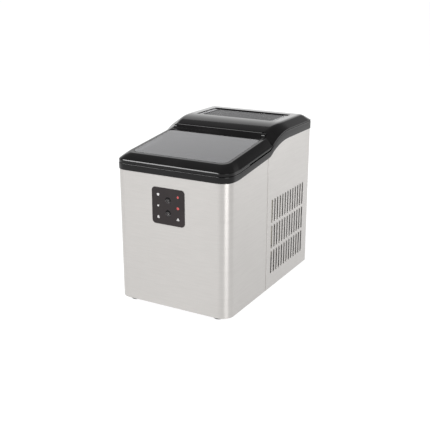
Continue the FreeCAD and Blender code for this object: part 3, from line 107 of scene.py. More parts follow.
def collar_line(y: Array, low: float, lip: float) -> Array:
    """Height of a line that runs along the collar.

    Level at the front, then a straight rise behind rise_y. From wave_y an eased curve runs up to
    the lip: start + (lip - start) * (1 - (1 - u)^2.15), with its first part softened.

    Args:
        y: Depth stations in millimetres.
        low: Height at the front.
        lip: Height at the back.

    Returns:
        One height for each station.
    """
    y = np.asarray(y, float)
    sloped = low + np.maximum(0.0, y - SIZE.rise_y) * SIZE.rise
    start = low + (SIZE.wave_y - SIZE.rise_y) * SIZE.rise
    u = np.clip((y - SIZE.wave_y) / SIZE.wave_l, 0.0, 1.0)
    soft = SIZE.wave_soft + (1.0 - SIZE.wave_soft) * np.minimum(1.0, u / SIZE.wave_soft_u)
    eased = (1.0 - (1.0 - u) ** SIZE.wave_power) * soft
    return np.where(y <= SIZE.wave_y, sloped, start + (lip - start) * eased)


def collar_low(y: Array) -> Array:
    """Lower edge of the collar."""
    return collar_line(y, SIZE.collar_z, SIZE.rear_lip_low)


def collar_high(y: Array) -> Array:
    """Upper edge of the collar."""
    return collar_line(y, SIZE.band_top, SIZE.rear_lip_high)


def lid_plane(y: Array) -> Array:
    """Flat top of the lid: a plane that rises towards the back."""
    return SIZE.lid_z + SIZE.lid_slope * (np.asarray(y, float) + SIZE.half_d)


def soft_min(a: Array, b: Array, blend: float) -> Array:
    """Smaller of two heights with a rounded change-over.

    min(a, b) less blend / 4 * h^2, where h = max(0, blend - |a - b|) / blend.

    Args:
        a: First height.
        b: Second height.
        blend: Difference in height over which the two run together.

    Returns:
        The blended height.
    """
    h = np.maximum(0.0, blend - np.abs(a - b)) / blend
    return np.minimum(a, b) - 0.25 * blend * h * h


# ------------------------------------------------------------------ mesh tools
def make_object(name: str, points: Array, faces: Iterable[Sequence[int]],
                sharp: float = SHARP) -> bpy.types.Object:
    """Mesh object from points in millimetres.

    Args:
        name: Piece name.
        points: Rows of x, y, z in millimetres.
        faces: Index lists, wound so that they face outwards.
        sharp: Edges that turn by more than this many degrees stay crisp.

    Returns:
        The new object, linked to the scene.
    """
    mesh = bpy.data.meshes.new(name)
    mesh.from_pydata((np.asarray(points, float) * MM).tolist(), [], [list(f) for f in faces])
    mesh.update()
    mesh.shade_smooth()
    mesh.set_sharp_from_angle(angle=math.radians(sharp))
    obj = bpy.data.objects.new(name, mesh)
    bpy.context.scene.collection.objects.link(obj)
    return obj


def grid_faces(rows: int, cols: int, wrap_rows: bool = False, wrap_cols: bool = True) -> list[list[int]]:
    """Quads of a grid of points, numbered row by row.

    Args:
        rows: Number of rows.
        cols: Points in a row.
        wrap_rows: Join the last row to the first.
        wrap_cols: Join the last point of each row to its first.

    Returns:
        Four point numbers for each quad.
    """
    r = np.arange(rows if wrap_rows else rows - 1)
    c = np.arange(cols if wrap_cols else cols - 1)
    rr, cc = np.meshgrid(r, c, indexing="ij")
    r2 = (rr + 1) % rows
    c2 = (cc + 1) % cols
    quads = np.stack([rr * cols + cc, rr * cols + c2, r2 * cols + c2, r2 * cols + cc], axis=-1)
    return quads.reshape(-1, 4).tolist()


@dataclass(frozen=True)
class Outline:
    """Rounded rectangle in plan, the same number of points for every size."""

    half_w: float
    y_front: float
    y_rear: float
    r_front: float
    r_rear: float
    x_mid: float = 0.0
    arc_n: int = 12
    side_n: int = 96
    face_n: int = 24

    def points(self) -> Array:
        """Points anticlockwise from above.

        Each corner is its centre plus radius times (cos t, sin t) over a quarter turn, and each
        straight run is shared out evenly between the corners.

        Returns:
            Rows of x and y in millimetres.
        """
        rf = max(self.r_front, 0.01)
        rr = max(self.r_rear, 0.01)
        centres = [(-self.half_w + rf, self.y_front + rf, rf, 180.0),
                   (self.half_w - rf, self.y_front + rf, rf, 270.0),
                   (self.half_w - rr, self.y_rear - rr, rr, 0.0),
                   (-self.half_w + rr, self.y_rear - rr, rr, 90.0)]
        arcs = []
        for cx, cy, radius, begin in centres:
            t = np.radians(np.linspace(begin, begin + 90.0, self.arc_n + 1))
            arcs.append(np.stack([cx + radius * np.cos(t), cy + radius * np.sin(t)], axis=1))
        parts = []
        for i, arc in enumerate(arcs):
            count = self.face_n if i in (0, 2) else self.side_n
            u = np.linspace(0.0, 1.0, count + 1)[1:-1, None]
            parts += [arc, arc[-1] * (1 - u) + arcs[(i + 1) % 4][0] * u]
        flat = np.concatenate(parts)
        flat[:, 0] += self.x_mid
        return flat


def ring(outline: Outline, height: Height | float) -> Array:
    """Outline lifted to a height.

    Args:
        outline: Outline in plan.
        height: One height, or a function of x and y.

    Returns:
        Rows of x, y, z in millimetres.
    """
    flat = outline.points()
    z = height(flat[:, 0], flat[:, 1]) if callable(height) else np.full(len(flat), float(height))
    return np.column_stack([flat, z])


def loft(name: str, rings: Sequence[Array], closed: bool = False, caps: bool = False,
         sharp: float = SHARP) -> bpy.types.Object:
    """Surface through rings with matching points.

    Point (i, j) is point j of ring i; neighbours make quads.

    Args:
        name: Piece name.
        rings: Rings from the outside's foot upwards, then inwards and down.
        closed: Join the last ring to the first, for a shell that goes all the way round.
        caps: Fill the first and last ring with flat faces.
        sharp: Crisp edge angle in degrees.

    Returns:
        The new object.
    """
    n = len(rings[0])
    faces = grid_faces(len(rings), n, wrap_rows=closed)
    if caps:
        faces.append(list(range(n))[::-1])
        last = (len(rings) - 1) * n
        faces.append([last + k for k in range(n)])
    return make_object(name, np.concatenate(rings), faces, sharp)


def turned(name: str, profile: Sequence[tuple[float, float]], centre: Sequence[float],
           axis: Axis = Axis.Z, count: int = 48, sharp: float = SHARP) -> bpy.types.Object:
    """Solid of revolution.

    Point (i, j) = centre + r_i * (cos t_j, sin t_j) across the axis + h_i along it. A first or
    last radius of nought closes the pole with one fan.

    Args:
        name: Piece name.
        profile: (radius, distance along the axis), ordered so that the surface faces outwards.
        centre: Point on the axis in millimetres.
        axis: Axis that it is turned about.
        count: Points round.
        sharp: Crisp edge angle in degrees.

    Returns:
        The new object.
    """
    t = np.linspace(0.0, 2 * math.pi, count, endpoint=False)
    first, second, along = axis.value
    rows = np.asarray(profile, float)
    on_axis = rows[:, 0] < 1e-6
    kept = rows[~on_axis]
    grid = np.zeros((len(kept), count, 3))
    grid[..., first] = kept[:, :1] * np.cos(t)
    grid[..., second] = kept[:, :1] * np.sin(t)
    grid[..., along] = kept[:, 1:]
    body = grid.reshape(-1, 3)
    faces = grid_faces(len(kept), count)
    here = np.arange(count)
    after = (here + 1) % count
    for end, base in ((0, 0), (-1, (len(kept) - 1) * count)):
        if not on_axis[end]:
            continue
        pole = np.full(count, len(body))
        fan = [pole, base + after, base + here] if end == 0 else [base + here, base + after, pole]
        faces += np.stack(fan, axis=1).tolist()
        tip = np.zeros((1, 3))
        tip[0, along] = rows[end, 1]
        body = np.concatenate([body, tip])
    return make_object(name, body + np.asarray(centre, float), faces, sharp)


def join(name: str, parts: Sequence[bpy.types.Object]) -> bpy.types.Object:
    """One object from several, keeping every mesh point where it is.

    Args:
        name: Piece name.
        parts: Objects to join; they are removed.

    Returns:
        The new object.
    """
    points = []
    faces = []
    offset = 0
    for part in parts:
        mesh = part.data
        flat = np.empty(len(mesh.vertices) * 3)
        mesh.vertices.foreach_get("co", flat)
        points.append(flat.reshape(-1, 3) / MM)
        faces += [[v + offset for v in poly.vertices] for poly in mesh.polygons]
        offset += len(mesh.vertices)
        bpy.data.objects.remove(part)
        bpy.data.meshes.remove(mesh)
    return make_object(name, np.concatenate(points), faces)


# ------------------------------------------------------------------ shader groups
class Groups:
    """Effects that several finishes share, each built once as a node group."""

    def __init__(self) -> None:
        """Start with no groups built."""
        self._made: dict[str, bpy.types.NodeTree] = {}

    def _new(self, name: str, inputs: dict[str, float], outputs: Sequence[str]) -> bpy.types.NodeTree:
        """Empty group that reads a vector and some numbers, and puts out numbers.

        Args:
            name: Group name.
            inputs: Each number's socket name and value.
            outputs: Names of the output sockets.

        Returns:
            The group.
        """
        tree = bpy.data.node_groups.new(name, "ShaderNodeTree")
        tree.interface.new_socket("Vector", in_out="INPUT", socket_type="NodeSocketVector")
        for label, value in inputs.items():
            socket = tree.interface.new_socket(label, in_out="INPUT", socket_type="NodeSocketFloat")
            socket.default_value = value
        for label in outputs:
            tree.interface.new_socket(label, in_out="OUTPUT", socket_type="NodeSocketFloat")
        return tree

    def level_grain(self) -> bpy.types.NodeTree:
        """Fine level brushing of sheet steel.

        Two noises squeezed in height: one for single scratches and one for broader streaks.

        Returns:
            The group.
        """
        if "level_grain" in self._made:
            return self._made["level_grain"]
        tree = self._new("level_grain", {"Fine": 2600.0, "Broad": 420.0, "Along": 22.0},
                         ("Streak", "Scratch"))
        nodes, links = tree.nodes, tree.links
        start = nodes.new("NodeGroupInput")
        end = nodes.new("NodeGroupOutput")
        for key, out in (("Fine", "Scratch"), ("Broad", "Streak")):
            size = nodes.new("ShaderNodeCombineXYZ")
            links.new(start.outputs["Along"], size.inputs["X"])
            links.new(start.outputs["Along"], size.inputs["Y"])
            links.new(start.outputs[key], size.inputs["Z"])
            scaled = nodes.new("ShaderNodeVectorMath")
            scaled.operation = "MULTIPLY"
            links.new(start.outputs["Vector"], scaled.inputs[0])
            links.new(size.outputs["Vector"], scaled.inputs[1])
            noise = nodes.new("ShaderNodeTexNoise")
            noise.inputs["Scale"].default_value = 1.0
            noise.inputs["Detail"].default_value = 3.0
            noise.inputs["Roughness"].default_value = 0.65
            links.new(scaled.outputs["Vector"], noise.inputs["Vector"])
            links.new(noise.outputs["Fac"], end.inputs[out])
        self._made["level_grain"] = tree
        return tree

    def skin(self) -> bpy.types.NodeTree:
        """Moulded surface: fine pebble, slow waviness and a thin veil of dust or handling marks.

        Returns:
            The group.
        """
        if "moulded_skin" in self._made:
            return self._made["moulded_skin"]
        tree = self._new("moulded_skin", {"Pebble": 1500.0, "Wave": 30.0, "Marks": 12.0},
                         ("Height", "Veil", "Flow"))
        nodes, links = tree.nodes, tree.links
        start = nodes.new("NodeGroupInput")
        end = nodes.new("NodeGroupOutput")
        made = {}
        for key, detail in (("Pebble", 2.0), ("Wave", 1.0), ("Marks", 6.0)):
            noise = nodes.new("ShaderNodeTexNoise")
            noise.inputs["Detail"].default_value = detail
            noise.inputs["Roughness"].default_value = 0.6
            links.new(start.outputs["Vector"], noise.inputs["Vector"])
            links.new(start.outputs[key], noise.inputs["Scale"])
            made[key] = noise
        veil = nodes.new("ShaderNodeMapRange")
        veil.inputs["From Min"].default_value = 0.48
        veil.inputs["From Max"].default_value = 0.75
        links.new(made["Marks"].outputs["Fac"], veil.inputs["Value"])
        links.new(made["Pebble"].outputs["Fac"], end.inputs["Height"])
        links.new(veil.outputs["Result"], end.inputs["Veil"])
        links.new(made["Wave"].outputs["Fac"], end.inputs["Flow"])
        self._made["moulded_skin"] = tree
        return tree


GROUPS = Groups()


@dataclass
class Shader:
    """A material being built: its node tree, its Principled shader and Object coordinates."""

    name: str
    material: bpy.types.Material = field(init=False)
    bsdf: bpy.types.Node = field(init=False)
    coords: bpy.types.Node = field(init=False)

    def __post_init__(self) -> None:
        """Create the material with its shader and coordinates."""
        self.material = bpy.data.materials.new(self.name)
        self.material.use_nodes = True
        self.bsdf = self.material.node_tree.nodes["Principled BSDF"]
        self.coords = self.add("ShaderNodeTexCoord")

    def add(self, kind: str) -> bpy.types.Node:
        """New node in the material."""
        return self.material.node_tree.nodes.new(kind)

    def link(self, source: bpy.types.NodeSocket, target: bpy.types.NodeSocket) -> None:
        """Join two sockets."""
        self.material.node_tree.links.new(source, target)

    def set(self, **values: float | tuple) -> None:
        """Set shader sockets by name.

        Args:
            **values: Socket names, with underscores for spaces, and their values.
        """
        for key, value in values.items():
            self.bsdf.inputs[key.replace("_", " ")].default_value = value

    def group(self, tree: bpy.types.NodeTree, **values: float) -> bpy.types.Node:
        """Place a shared effect that reads Object coordinates.

        Args:
            tree: The group.
            **values: Its inputs by name.

        Returns:
            The group's node.
        """
        node = self.add("ShaderNodeGroup")
        node.node_tree = tree
        self.link(self.coords.outputs["Object"], node.inputs["Vector"])
        for key, value in values.items():
            node.inputs[key].default_value = value
        return node

    def spread(self, source: bpy.types.NodeSocket, low: float, high: float,
               target: bpy.types.NodeSocket | None = None, start: float = 0.3,
               stop: float = 0.7) -> bpy.types.NodeSocket:
        """Map a value from one range to another.

        Args:
            source: The value.
            low: Result at start.
            high: Result at stop.
            target: Socket that takes the result, if any.
            start: Low end of the value.
            stop: High end of the value.

        Returns:
            The result's socket.
        """
        node = self.add("ShaderNodeMapRange")
        node.inputs["From Min"].default_value = start
        node.inputs["From Max"].default_value = stop
        node.inputs["To Min"].default_value = low
        node.inputs["To Max"].default_value = high
        self.link(source, node.inputs["Value"])
        if target is not None:
            self.link(node.outputs["Result"], target)
        return node.outputs["Result"]

    def tint(self, mask: bpy.types.NodeSocket, first: tuple, second: tuple) -> None:
        """Feed Base Color with a mix of two tones.

        Args:
            mask: Share of the second tone.
            first: Tone where the mask is nought.
            second: Tone where the mask is one.
        """
        node = self.add("ShaderNodeMix")
        node.data_type = "RGBA"
        node.inputs[6].default_value = (*first, 1.0)
        node.inputs[7].default_value = (*second, 1.0)
        self.link(mask, node.inputs[0])
        self.link(node.outputs[2], self.bsdf.inputs["Base Color"])

    def bump(self, *layers: tuple[bpy.types.NodeSocket, float, float]) -> None:
        """Stack bumps and feed Normal.

        Args:
            *layers: Height socket, strength and distance in metres of each bump.
        """
        before = None
        for height, strength, distance in layers:
            node = self.add("ShaderNodeBump")
            node.inputs["Strength"].default_value = strength
            node.inputs["Distance"].default_value = distance
            self.link(height, node.inputs["Height"])
            if before is not None:
                self.link(before.outputs["Normal"], node.inputs["Normal"])
            before = node
        self.link(before.outputs["Normal"], self.bsdf.inputs["Normal"])


# ------------------------------------------------------------------ finishes
Tone = tuple[float, float, float]


@dataclass(frozen=True)
class BrushedSteel:
    """Stainless sheet with a fine level grain.

    The grain runs level, so highlights spread upright. Tone and roughness follow the streaks.
    """

    light: Tone = (0.510, 0.495, 0.480)
    dark: Tone = (0.462, 0.448, 0.434)
    rough_low: float = 0.29
    rough_high: float = 0.37
    stretch: float = 0.72
    relief: float = 0.06
    flow_share: float = 0.35
    streak_share: float = 0.65

    def material(self, name: str) -> bpy.types.Material:
        """Build the node material.

        Args:
            name: Material name.

        Returns:
            The material.
        """
        shader = Shader(name)
        shader.set(Metallic=1.0, Anisotropic=self.stretch, Anisotropic_Rotation=0.25)
        tangent = shader.add("ShaderNodeTangent")
        tangent.direction_type = "RADIAL"
        tangent.axis = "Z"
        shader.link(tangent.outputs["Tangent"], shader.bsdf.inputs["Tangent"])
        grain = shader.group(GROUPS.level_grain())
        skin = shader.group(GROUPS.skin(), Pebble=300.0, Wave=9.0, Marks=14.0)
        mixed = shader.add("ShaderNodeMath")
        mixed.operation = "MULTIPLY_ADD"
        mixed.inputs[1].default_value = self.flow_share
        shader.link(skin.outputs["Flow"], mixed.inputs[0])
        scaled = shader.spread(grain.outputs["Streak"], 0.0, self.streak_share)
        shader.link(scaled, mixed.inputs[2])
        shader.tint(mixed.outputs["Value"], self.dark, self.light)
        shader.spread(grain.outputs["Scratch"], self.rough_high, self.rough_low,
                      shader.bsdf.inputs["Roughness"])
        shader.bump((grain.outputs["Scratch"], self.relief, 0.0002))
        return shader.material


@dataclass(frozen=True)
class Moulded:
    """Moulded plastic, rubber, enamel or foam.

    One tone with slow flow marks, a fine pebble and a thin veil of handling marks.
    """

    tone: Tone
    veil: Tone
    rough: float
    spread: float = 0.06
    pebble: float = 1500.0
    relief: float = 0.05
    ripple: float = 0.0
    coat: float = 0.0
    level: float = 0.5
    see_through: float = 0.0

    def material(self, name: str) -> bpy.types.Material:
        """Build the node material.

        Args:
            name: Material name.

        Returns:
            The material.
        """
        shader = Shader(name)
        shader.set(Coat_Weight=self.coat, Coat_Roughness=0.04, Specular_IOR_Level=self.level,
                   Transmission_Weight=self.see_through)
        skin = shader.group(GROUPS.skin(), Pebble=self.pebble)
        shader.tint(skin.outputs["Veil"], self.tone, self.veil)
        shader.spread(skin.outputs["Veil"], self.rough, self.rough + self.spread,
                      shader.bsdf.inputs["Roughness"], 0.0, 1.0)
        layers = [(skin.outputs["Height"], self.relief, 0.0002)]
        if self.ripple > 0:
            layers.append((skin.outputs["Flow"], self.ripple, 0.002))
        shader.bump(*layers)
        return shader.material


@dataclass(frozen=True)
class PlainMetal:
    """Drawn, machined or plated metal: fine scratches one way and darker patches of tarnish."""

    bright: Tone
    dull: Tone
    rough: float
    spread: float = 0.14
    along: float = 160.0
    relief: float = 0.08

    def material(self, name: str) -> bpy.types.Material:
        """Build the node material.

        Args:
            name: Material name.

        Returns:
            The material.
        """
        shader = Shader(name)
        shader.set(Metallic=1.0)
        grain = shader.group(GROUPS.level_grain(), Fine=1400.0, Broad=500.0, Along=self.along)
        skin = shader.group(GROUPS.skin(), Pebble=700.0, Marks=60.0)
        shader.tint(skin.outputs["Veil"], self.bright, self.dull)
        shader.spread(grain.outputs["Scratch"], self.rough, self.rough + self.spread,
                      shader.bsdf.inputs["Roughness"])
        shader.bump((grain.outputs["Scratch"], self.relief, 0.0002))
        return shader.material


@dataclass(frozen=True)
class SmokedClear:
    """Smoked clear plastic: dark glass with faint flow marks and fine wiping marks."""

    tone: Tone = (0.16, 0.16, 0.175)
    rough: float = 0.035

    def material(self, name: str) -> bpy.types.Material:
        """Build the node material.

        Args:
            name: Material name.

        Returns:
            The material.
        """
        shader = Shader(name)
        shader.set(Metallic=0.0, Transmission_Weight=0.82, IOR=1.5)
        skin = shader.group(GROUPS.skin(), Pebble=260.0, Wave=7.0, Marks=40.0)
        darker = (self.tone[0] * 0.8, self.tone[1] * 0.8, self.tone[2] * 0.82)
        shader.tint(skin.outputs["Flow"], darker, self.tone)
        shader.spread(skin.outputs["Veil"], self.rough, self.rough * 2.0,
                      shader.bsdf.inputs["Roughness"], 0.0, 1.0)
        shader.bump((skin.outputs["Height"], 0.015, 0.0002), (skin.outputs["Flow"], 0.02, 0.002))
        return shader.material


@dataclass(frozen=True)
class Board:
    """Circuit board: green lacquer over a square lattice of copper tracks."""

    lacquer: Tone = (0.012, 0.13, 0.055)
    track: Tone = (0.06, 0.26, 0.10)
    pitch: float = 380.0

    def material(self, name: str) -> bpy.types.Material:
        """Build the node material.

        Args:
            name: Material name.

        Returns:
            The material.
        """
        shader = Shader(name)
        shader.set(Coat_Weight=0.4, Coat_Roughness=0.12)
        brick = shader.add("ShaderNodeTexBrick")
        brick.inputs["Scale"].default_value = self.pitch
        brick.inputs["Mortar Size"].default_value = 0.03
        shader.link(shader.coords.outputs["Object"], brick.inputs["Vector"])
        skin = shader.group(GROUPS.skin(), Pebble=900.0)
        shader.tint(brick.outputs["Fac"], self.lacquer, self.track)
        shader.spread(skin.outputs["Veil"], 0.38, 0.5, shader.bsdf.inputs["Roughness"], 0.0, 1.0)
        shader.bump((brick.outputs["Fac"], 0.2, 0.0002))
        return shader.material


class Finish(Enum):
    """Every finish of the machine; most are named as the record names its slots."""

    steel = BrushedSteel()
    black_gloss = Moulded((0.0035, 0.0033, 0.0035), (0.0075, 0.0070, 0.0073), 0.07, 0.04, 420.0, 0.010, 0.0,
                          level=0.22)
    smoked = SmokedClear()
    black_matte = Moulded((0.014, 0.014, 0.015), (0.030, 0.029, 0.030), 0.42, 0.12, 1500.0, 0.12)
    grille_satin = Moulded((0.035, 0.035, 0.037), (0.06, 0.06, 0.062), 0.24, 0.08, 1100.0, 0.05)
    panel_print = Moulded((0.017, 0.0135, 0.0140), (0.025, 0.0205, 0.0210), 0.34, 0.10, 1300.0, 0.04, level=0.2)
    button_cap = Moulded((0.034, 0.030, 0.031), (0.050, 0.046, 0.046), 0.24, 0.08, 1200.0, 0.03)
    # Near-black painted shade for the crescents over the button dishes, where the dish's upper wall falls in
    # shadow.
    button_arc = Moulded((0.0015, 0.0015, 0.0015), (0.0035, 0.0033, 0.0033), 0.5, 0.10, 1200.0, 0.02, level=0.1)
    lens_white = Moulded((0.42, 0.41, 0.41), (0.34, 0.33, 0.33), 0.30, 0.10, 900.0, 0.03)
    lens_red = Moulded((0.34, 0.042, 0.042), (0.27, 0.034, 0.034), 0.30, 0.10, 900.0, 0.03)
    grille_tooth = Moulded((0.20, 0.20, 0.205), (0.25, 0.25, 0.255), 0.25, 0.10, 900.0, 0.03)
    lens_dark = Moulded((0.020, 0.018, 0.019), (0.032, 0.030, 0.030), 0.16, 0.08, 900.0, 0.02)
    rubber = Moulded((0.012, 0.012, 0.012), (0.030, 0.029, 0.028), 0.62, 0.15, 900.0, 0.20)
    zinc = PlainMetal((0.46, 0.46, 0.47), (0.34, 0.34, 0.36), 0.36)
    bolt_steel = PlainMetal((0.56, 0.56, 0.57), (0.42, 0.42, 0.43), 0.24)
    white_plastic = Moulded((0.66, 0.67, 0.67), (0.58, 0.585, 0.58), 0.38, 0.12, 1100.0, 0.05)
    foam = Moulded((0.62, 0.58, 0.46), (0.52, 0.48, 0.38), 0.85, 0.08, 520.0, 0.6)
    basket_plastic = Moulded((0.62, 0.66, 0.68), (0.54, 0.57, 0.59), 0.28, 0.10, 1100.0, 0.05, see_through=0.35)
    nickel = PlainMetal((0.60, 0.57, 0.52), (0.44, 0.42, 0.38), 0.22)
    copper = PlainMetal((0.60, 0.27, 0.15), (0.33, 0.14, 0.09), 0.26)
    brass = PlainMetal((0.58, 0.42, 0.16), (0.42, 0.30, 0.12), 0.28)
    black_paint = Moulded((0.010, 0.010, 0.011), (0.022, 0.021, 0.021), 0.26, 0.12, 500.0, 0.10, 0.05)
    aluminium = PlainMetal((0.60, 0.61, 0.62), (0.48, 0.49, 0.50), 0.34)
    board_green = Board()
    clear_hose = Moulded((0.56, 0.60, 0.60), (0.50, 0.53, 0.53), 0.34, 0.10, 800.0, 0.05, see_through=0.3)


class Dresser:
    """Builds each finish once and gives it to pieces and solids."""

    def __init__(self) -> None:
        """Start with nothing built."""
        self._built: dict[Finish, bpy.types.Material] = {}
        self._smoother: bpy.types.NodeTree | None = None

    def material(self, finish: Finish) -> bpy.types.Material:
        """Material of a finish, built the first time it is asked for.

        Args:
            finish: The finish.

        Returns:
            The material.
        """
        if finish not in self._built:
            self._built[finish] = finish.value.material(finish.name)
        return self._built[finish]

    def smoother(self) -> bpy.types.NodeTree:
        """Geometry nodes that weld loose triangles, shade them smooth and keep edges crisp by angle.

        Returns:
            The node tree, built once.
        """
        if self._smoother is not None:
            return self._smoother
        tree = bpy.data.node_groups.new("weld_and_smooth", "GeometryNodeTree")
        tree.interface.new_socket("Geometry", in_out="INPUT", socket_type="NodeSocketGeometry")
        tree.interface.new_socket("Geometry", in_out="OUTPUT", socket_type="NodeSocketGeometry")
        nodes, links = tree.nodes, tree.links
        start = nodes.new("NodeGroupInput")
        end = nodes.new("NodeGroupOutput")
        weld = nodes.new("GeometryNodeMergeByDistance")
        weld.inputs["Distance"].default_value = 0.00001
        face = nodes.new("GeometryNodeSetShadeSmooth")
        face.domain = "FACE"
        crisp = nodes.new("GeometryNodeSetShadeSmooth")
        crisp.domain = "EDGE"
        crisp.inputs["Shade Smooth"].default_value = False
        turn = nodes.new("GeometryNodeInputMeshEdgeAngle")
        limit = nodes.new("FunctionNodeCompare")
        limit.data_type = "FLOAT"
        limit.operation = "GREATER_THAN"
        limit.inputs[1].default_value = math.radians(SHARP)
        links.new(turn.outputs["Unsigned Angle"], limit.inputs[0])
        links.new(start.outputs[0], weld.inputs["Geometry"])
        links.new(weld.outputs["Geometry"], face.inputs["Geometry"])
        links.new(face.outputs["Geometry"], crisp.inputs["Geometry"])
        links.new(limit.outputs["Result"], crisp.inputs["Selection"])
        links.new(crisp.outputs["Geometry"], end.inputs[0])
        self._smoother = tree
        return tree

    def node(self, name: str, finish: Finish) -> None:
        """Dress a solid of the frame: its finish, and smooth shading by a modifier.

        Args:
            name: Node name.
            finish: Its finish.
        """
        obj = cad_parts[name]
        if not obj.material_slots:
            obj.data.materials.append(None)
        for holder in obj.material_slots:
            holder.material = self.material(finish)
        weld = obj.modifiers.new("weld_and_smooth", "NODES")
        weld.node_group = self.smoother()

    def piece(self, obj: bpy.types.Object, finish: Finish, body: str,
              replaces: Sequence[str] = ()) -> None:
        """Dress a new piece, seat it on a body and hide the solids that it stands for.

        Args:
            obj: The piece.
            finish: Its finish.
            body: Body that it moves with.
            replaces: Solids that it stands for.
        """
        obj.data.materials.clear()
        obj.data.materials.append(self.material(finish))
        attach(obj, body)
        if replaces:
            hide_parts(*replaces)
        LOG.info("%s: %s on %s", obj.name, finish.name, body)


DRESSER = Dresser()


# ------------------------------------------------------------------ more mesh tools
def arc_points(radius: float, first: float, last: float, count: int = 5) -> Array:
    """Points radius * (cos t, sin t) of an arc.

    Args:
        radius: Radius in millimetres.
        first: Angle of the first point in degrees.
        last: Angle of the last point in degrees.
        count: Number of points.

    Returns:
        Two columns.
    """
    t = np.radians(np.linspace(first, last, count))
    return np.column_stack([radius * np.cos(t), radius * np.sin(t)])


def extruded(name: str, section: Array | Sequence[tuple[float, float]], x0: float, x1: float,
             sharp: float = SHARP) -> bpy.types.Object:
    """Closed (y, z) outline carried along X from x0 to x1, with both ends filled.

    Args:
        name: Piece name.
        section: Outline, anticlockwise seen from +X.
        x0: Low end.
        x1: High end.
        sharp: Crisp edge angle in degrees.

    Returns:
        The new object.
    """
    flat = np.asarray(section, float)
    n = len(flat)
    near = np.column_stack([np.full(n, x0), flat])
    far = np.column_stack([np.full(n, x1), flat])
    faces = grid_faces(2, n)
    faces.append(list(range(n))[::-1])
    faces.append([n + k for k in range(n)])
    return make_object(name, np.concatenate([near, far]), faces, sharp)


def slab(points: Array, under: Array, faces: Array) -> tuple[Array, list[list[int]]]:
    """Closed solid between a sheet and the same sheet at other heights.

    The lower sheet has the same quads turned over. An edge that only one quad uses is open, and
    each open edge (a, b) gets the wall (a, a', b', b) down to the lower sheet.

    Args:
        points: Upper sheet in millimetres.
        under: Height of the lower sheet at each point.
        faces: Quads of the upper sheet, facing up.

    Returns:
        All points and all faces.
    """
    used, inverse = np.unique(faces, return_inverse=True)
    faces = inverse.reshape(faces.shape)
    upper = points[used]
    lower = upper.copy()
    lower[:, 2] = under[used]
    edges = np.stack([faces, np.roll(faces, -1, axis=1)], axis=-1).reshape(-1, 2)
    _, first, count = np.unique(np.sort(edges, axis=1), axis=0, return_index=True, return_counts=True)
    rim = edges[first[count == 1]]
    shift = len(upper)
    walls = np.stack([rim[:, 0], rim[:, 0] + shift, rim[:, 1] + shift, rim[:, 1]], axis=1)
    all_faces = np.concatenate([faces, faces[:, ::-1] + shift, walls])
    return np.concatenate([upper, lower]), all_faces.tolist()


def finish_edges(obj: bpy.types.Object, width: float, segments: int = 3,
                 angle: float = SHARP) -> bpy.types.Object:
    """Round every crisp edge with a live bevel.

    Args:
        obj: The piece.
        width: Width in millimetres.
        segments: Steps across the rounding.
        angle: Edges that turn by more than this many degrees are rounded.

    Returns:
        The same piece.
    """
    bevel = obj.modifiers.new("rounded_edges", "BEVEL")
    bevel.width = width * MM
    bevel.segments = segments
    bevel.limit_method = "ANGLE"
    bevel.angle_limit = math.radians(angle)
    bevel.harden_normals = False
    return obj


def flat_sign(name: str, outline: Array, x: float, z: float, face_y: float,
              thick: float = 0.5) -> bpy.types.Object:
    """Thin plate that faces -Y.

    Args:
        name: Piece name.
        outline: Rows of x and z, anticlockwise seen from the front.
        x: Place of the outline's middle.
        z: Height of the outline's middle.
        face_y: Place of the front face.
        thick: Thickness.

    Returns:
        The new object.
    """
    flat = np.asarray(outline, float)
    n = len(flat)
    front = np.column_stack([flat[:, 0] + x, np.full(n, face_y), flat[:, 1] + z])
    back = front + np.array([0.0, thick, 0.0])
    faces = grid_faces(2, n)
    faces = [f[::-1] for f in faces]
    faces.append(list(range(n)))
    faces.append([n + k for k in range(n)][::-1])
    return make_object(name, np.concatenate([front, back]), faces)


def circle(radius: float, count: int = 40) -> Array:
    """Points of a circle, anticlockwise."""
    return arc_points(radius, 0.0, 360.0 * (count - 1) / count, count)


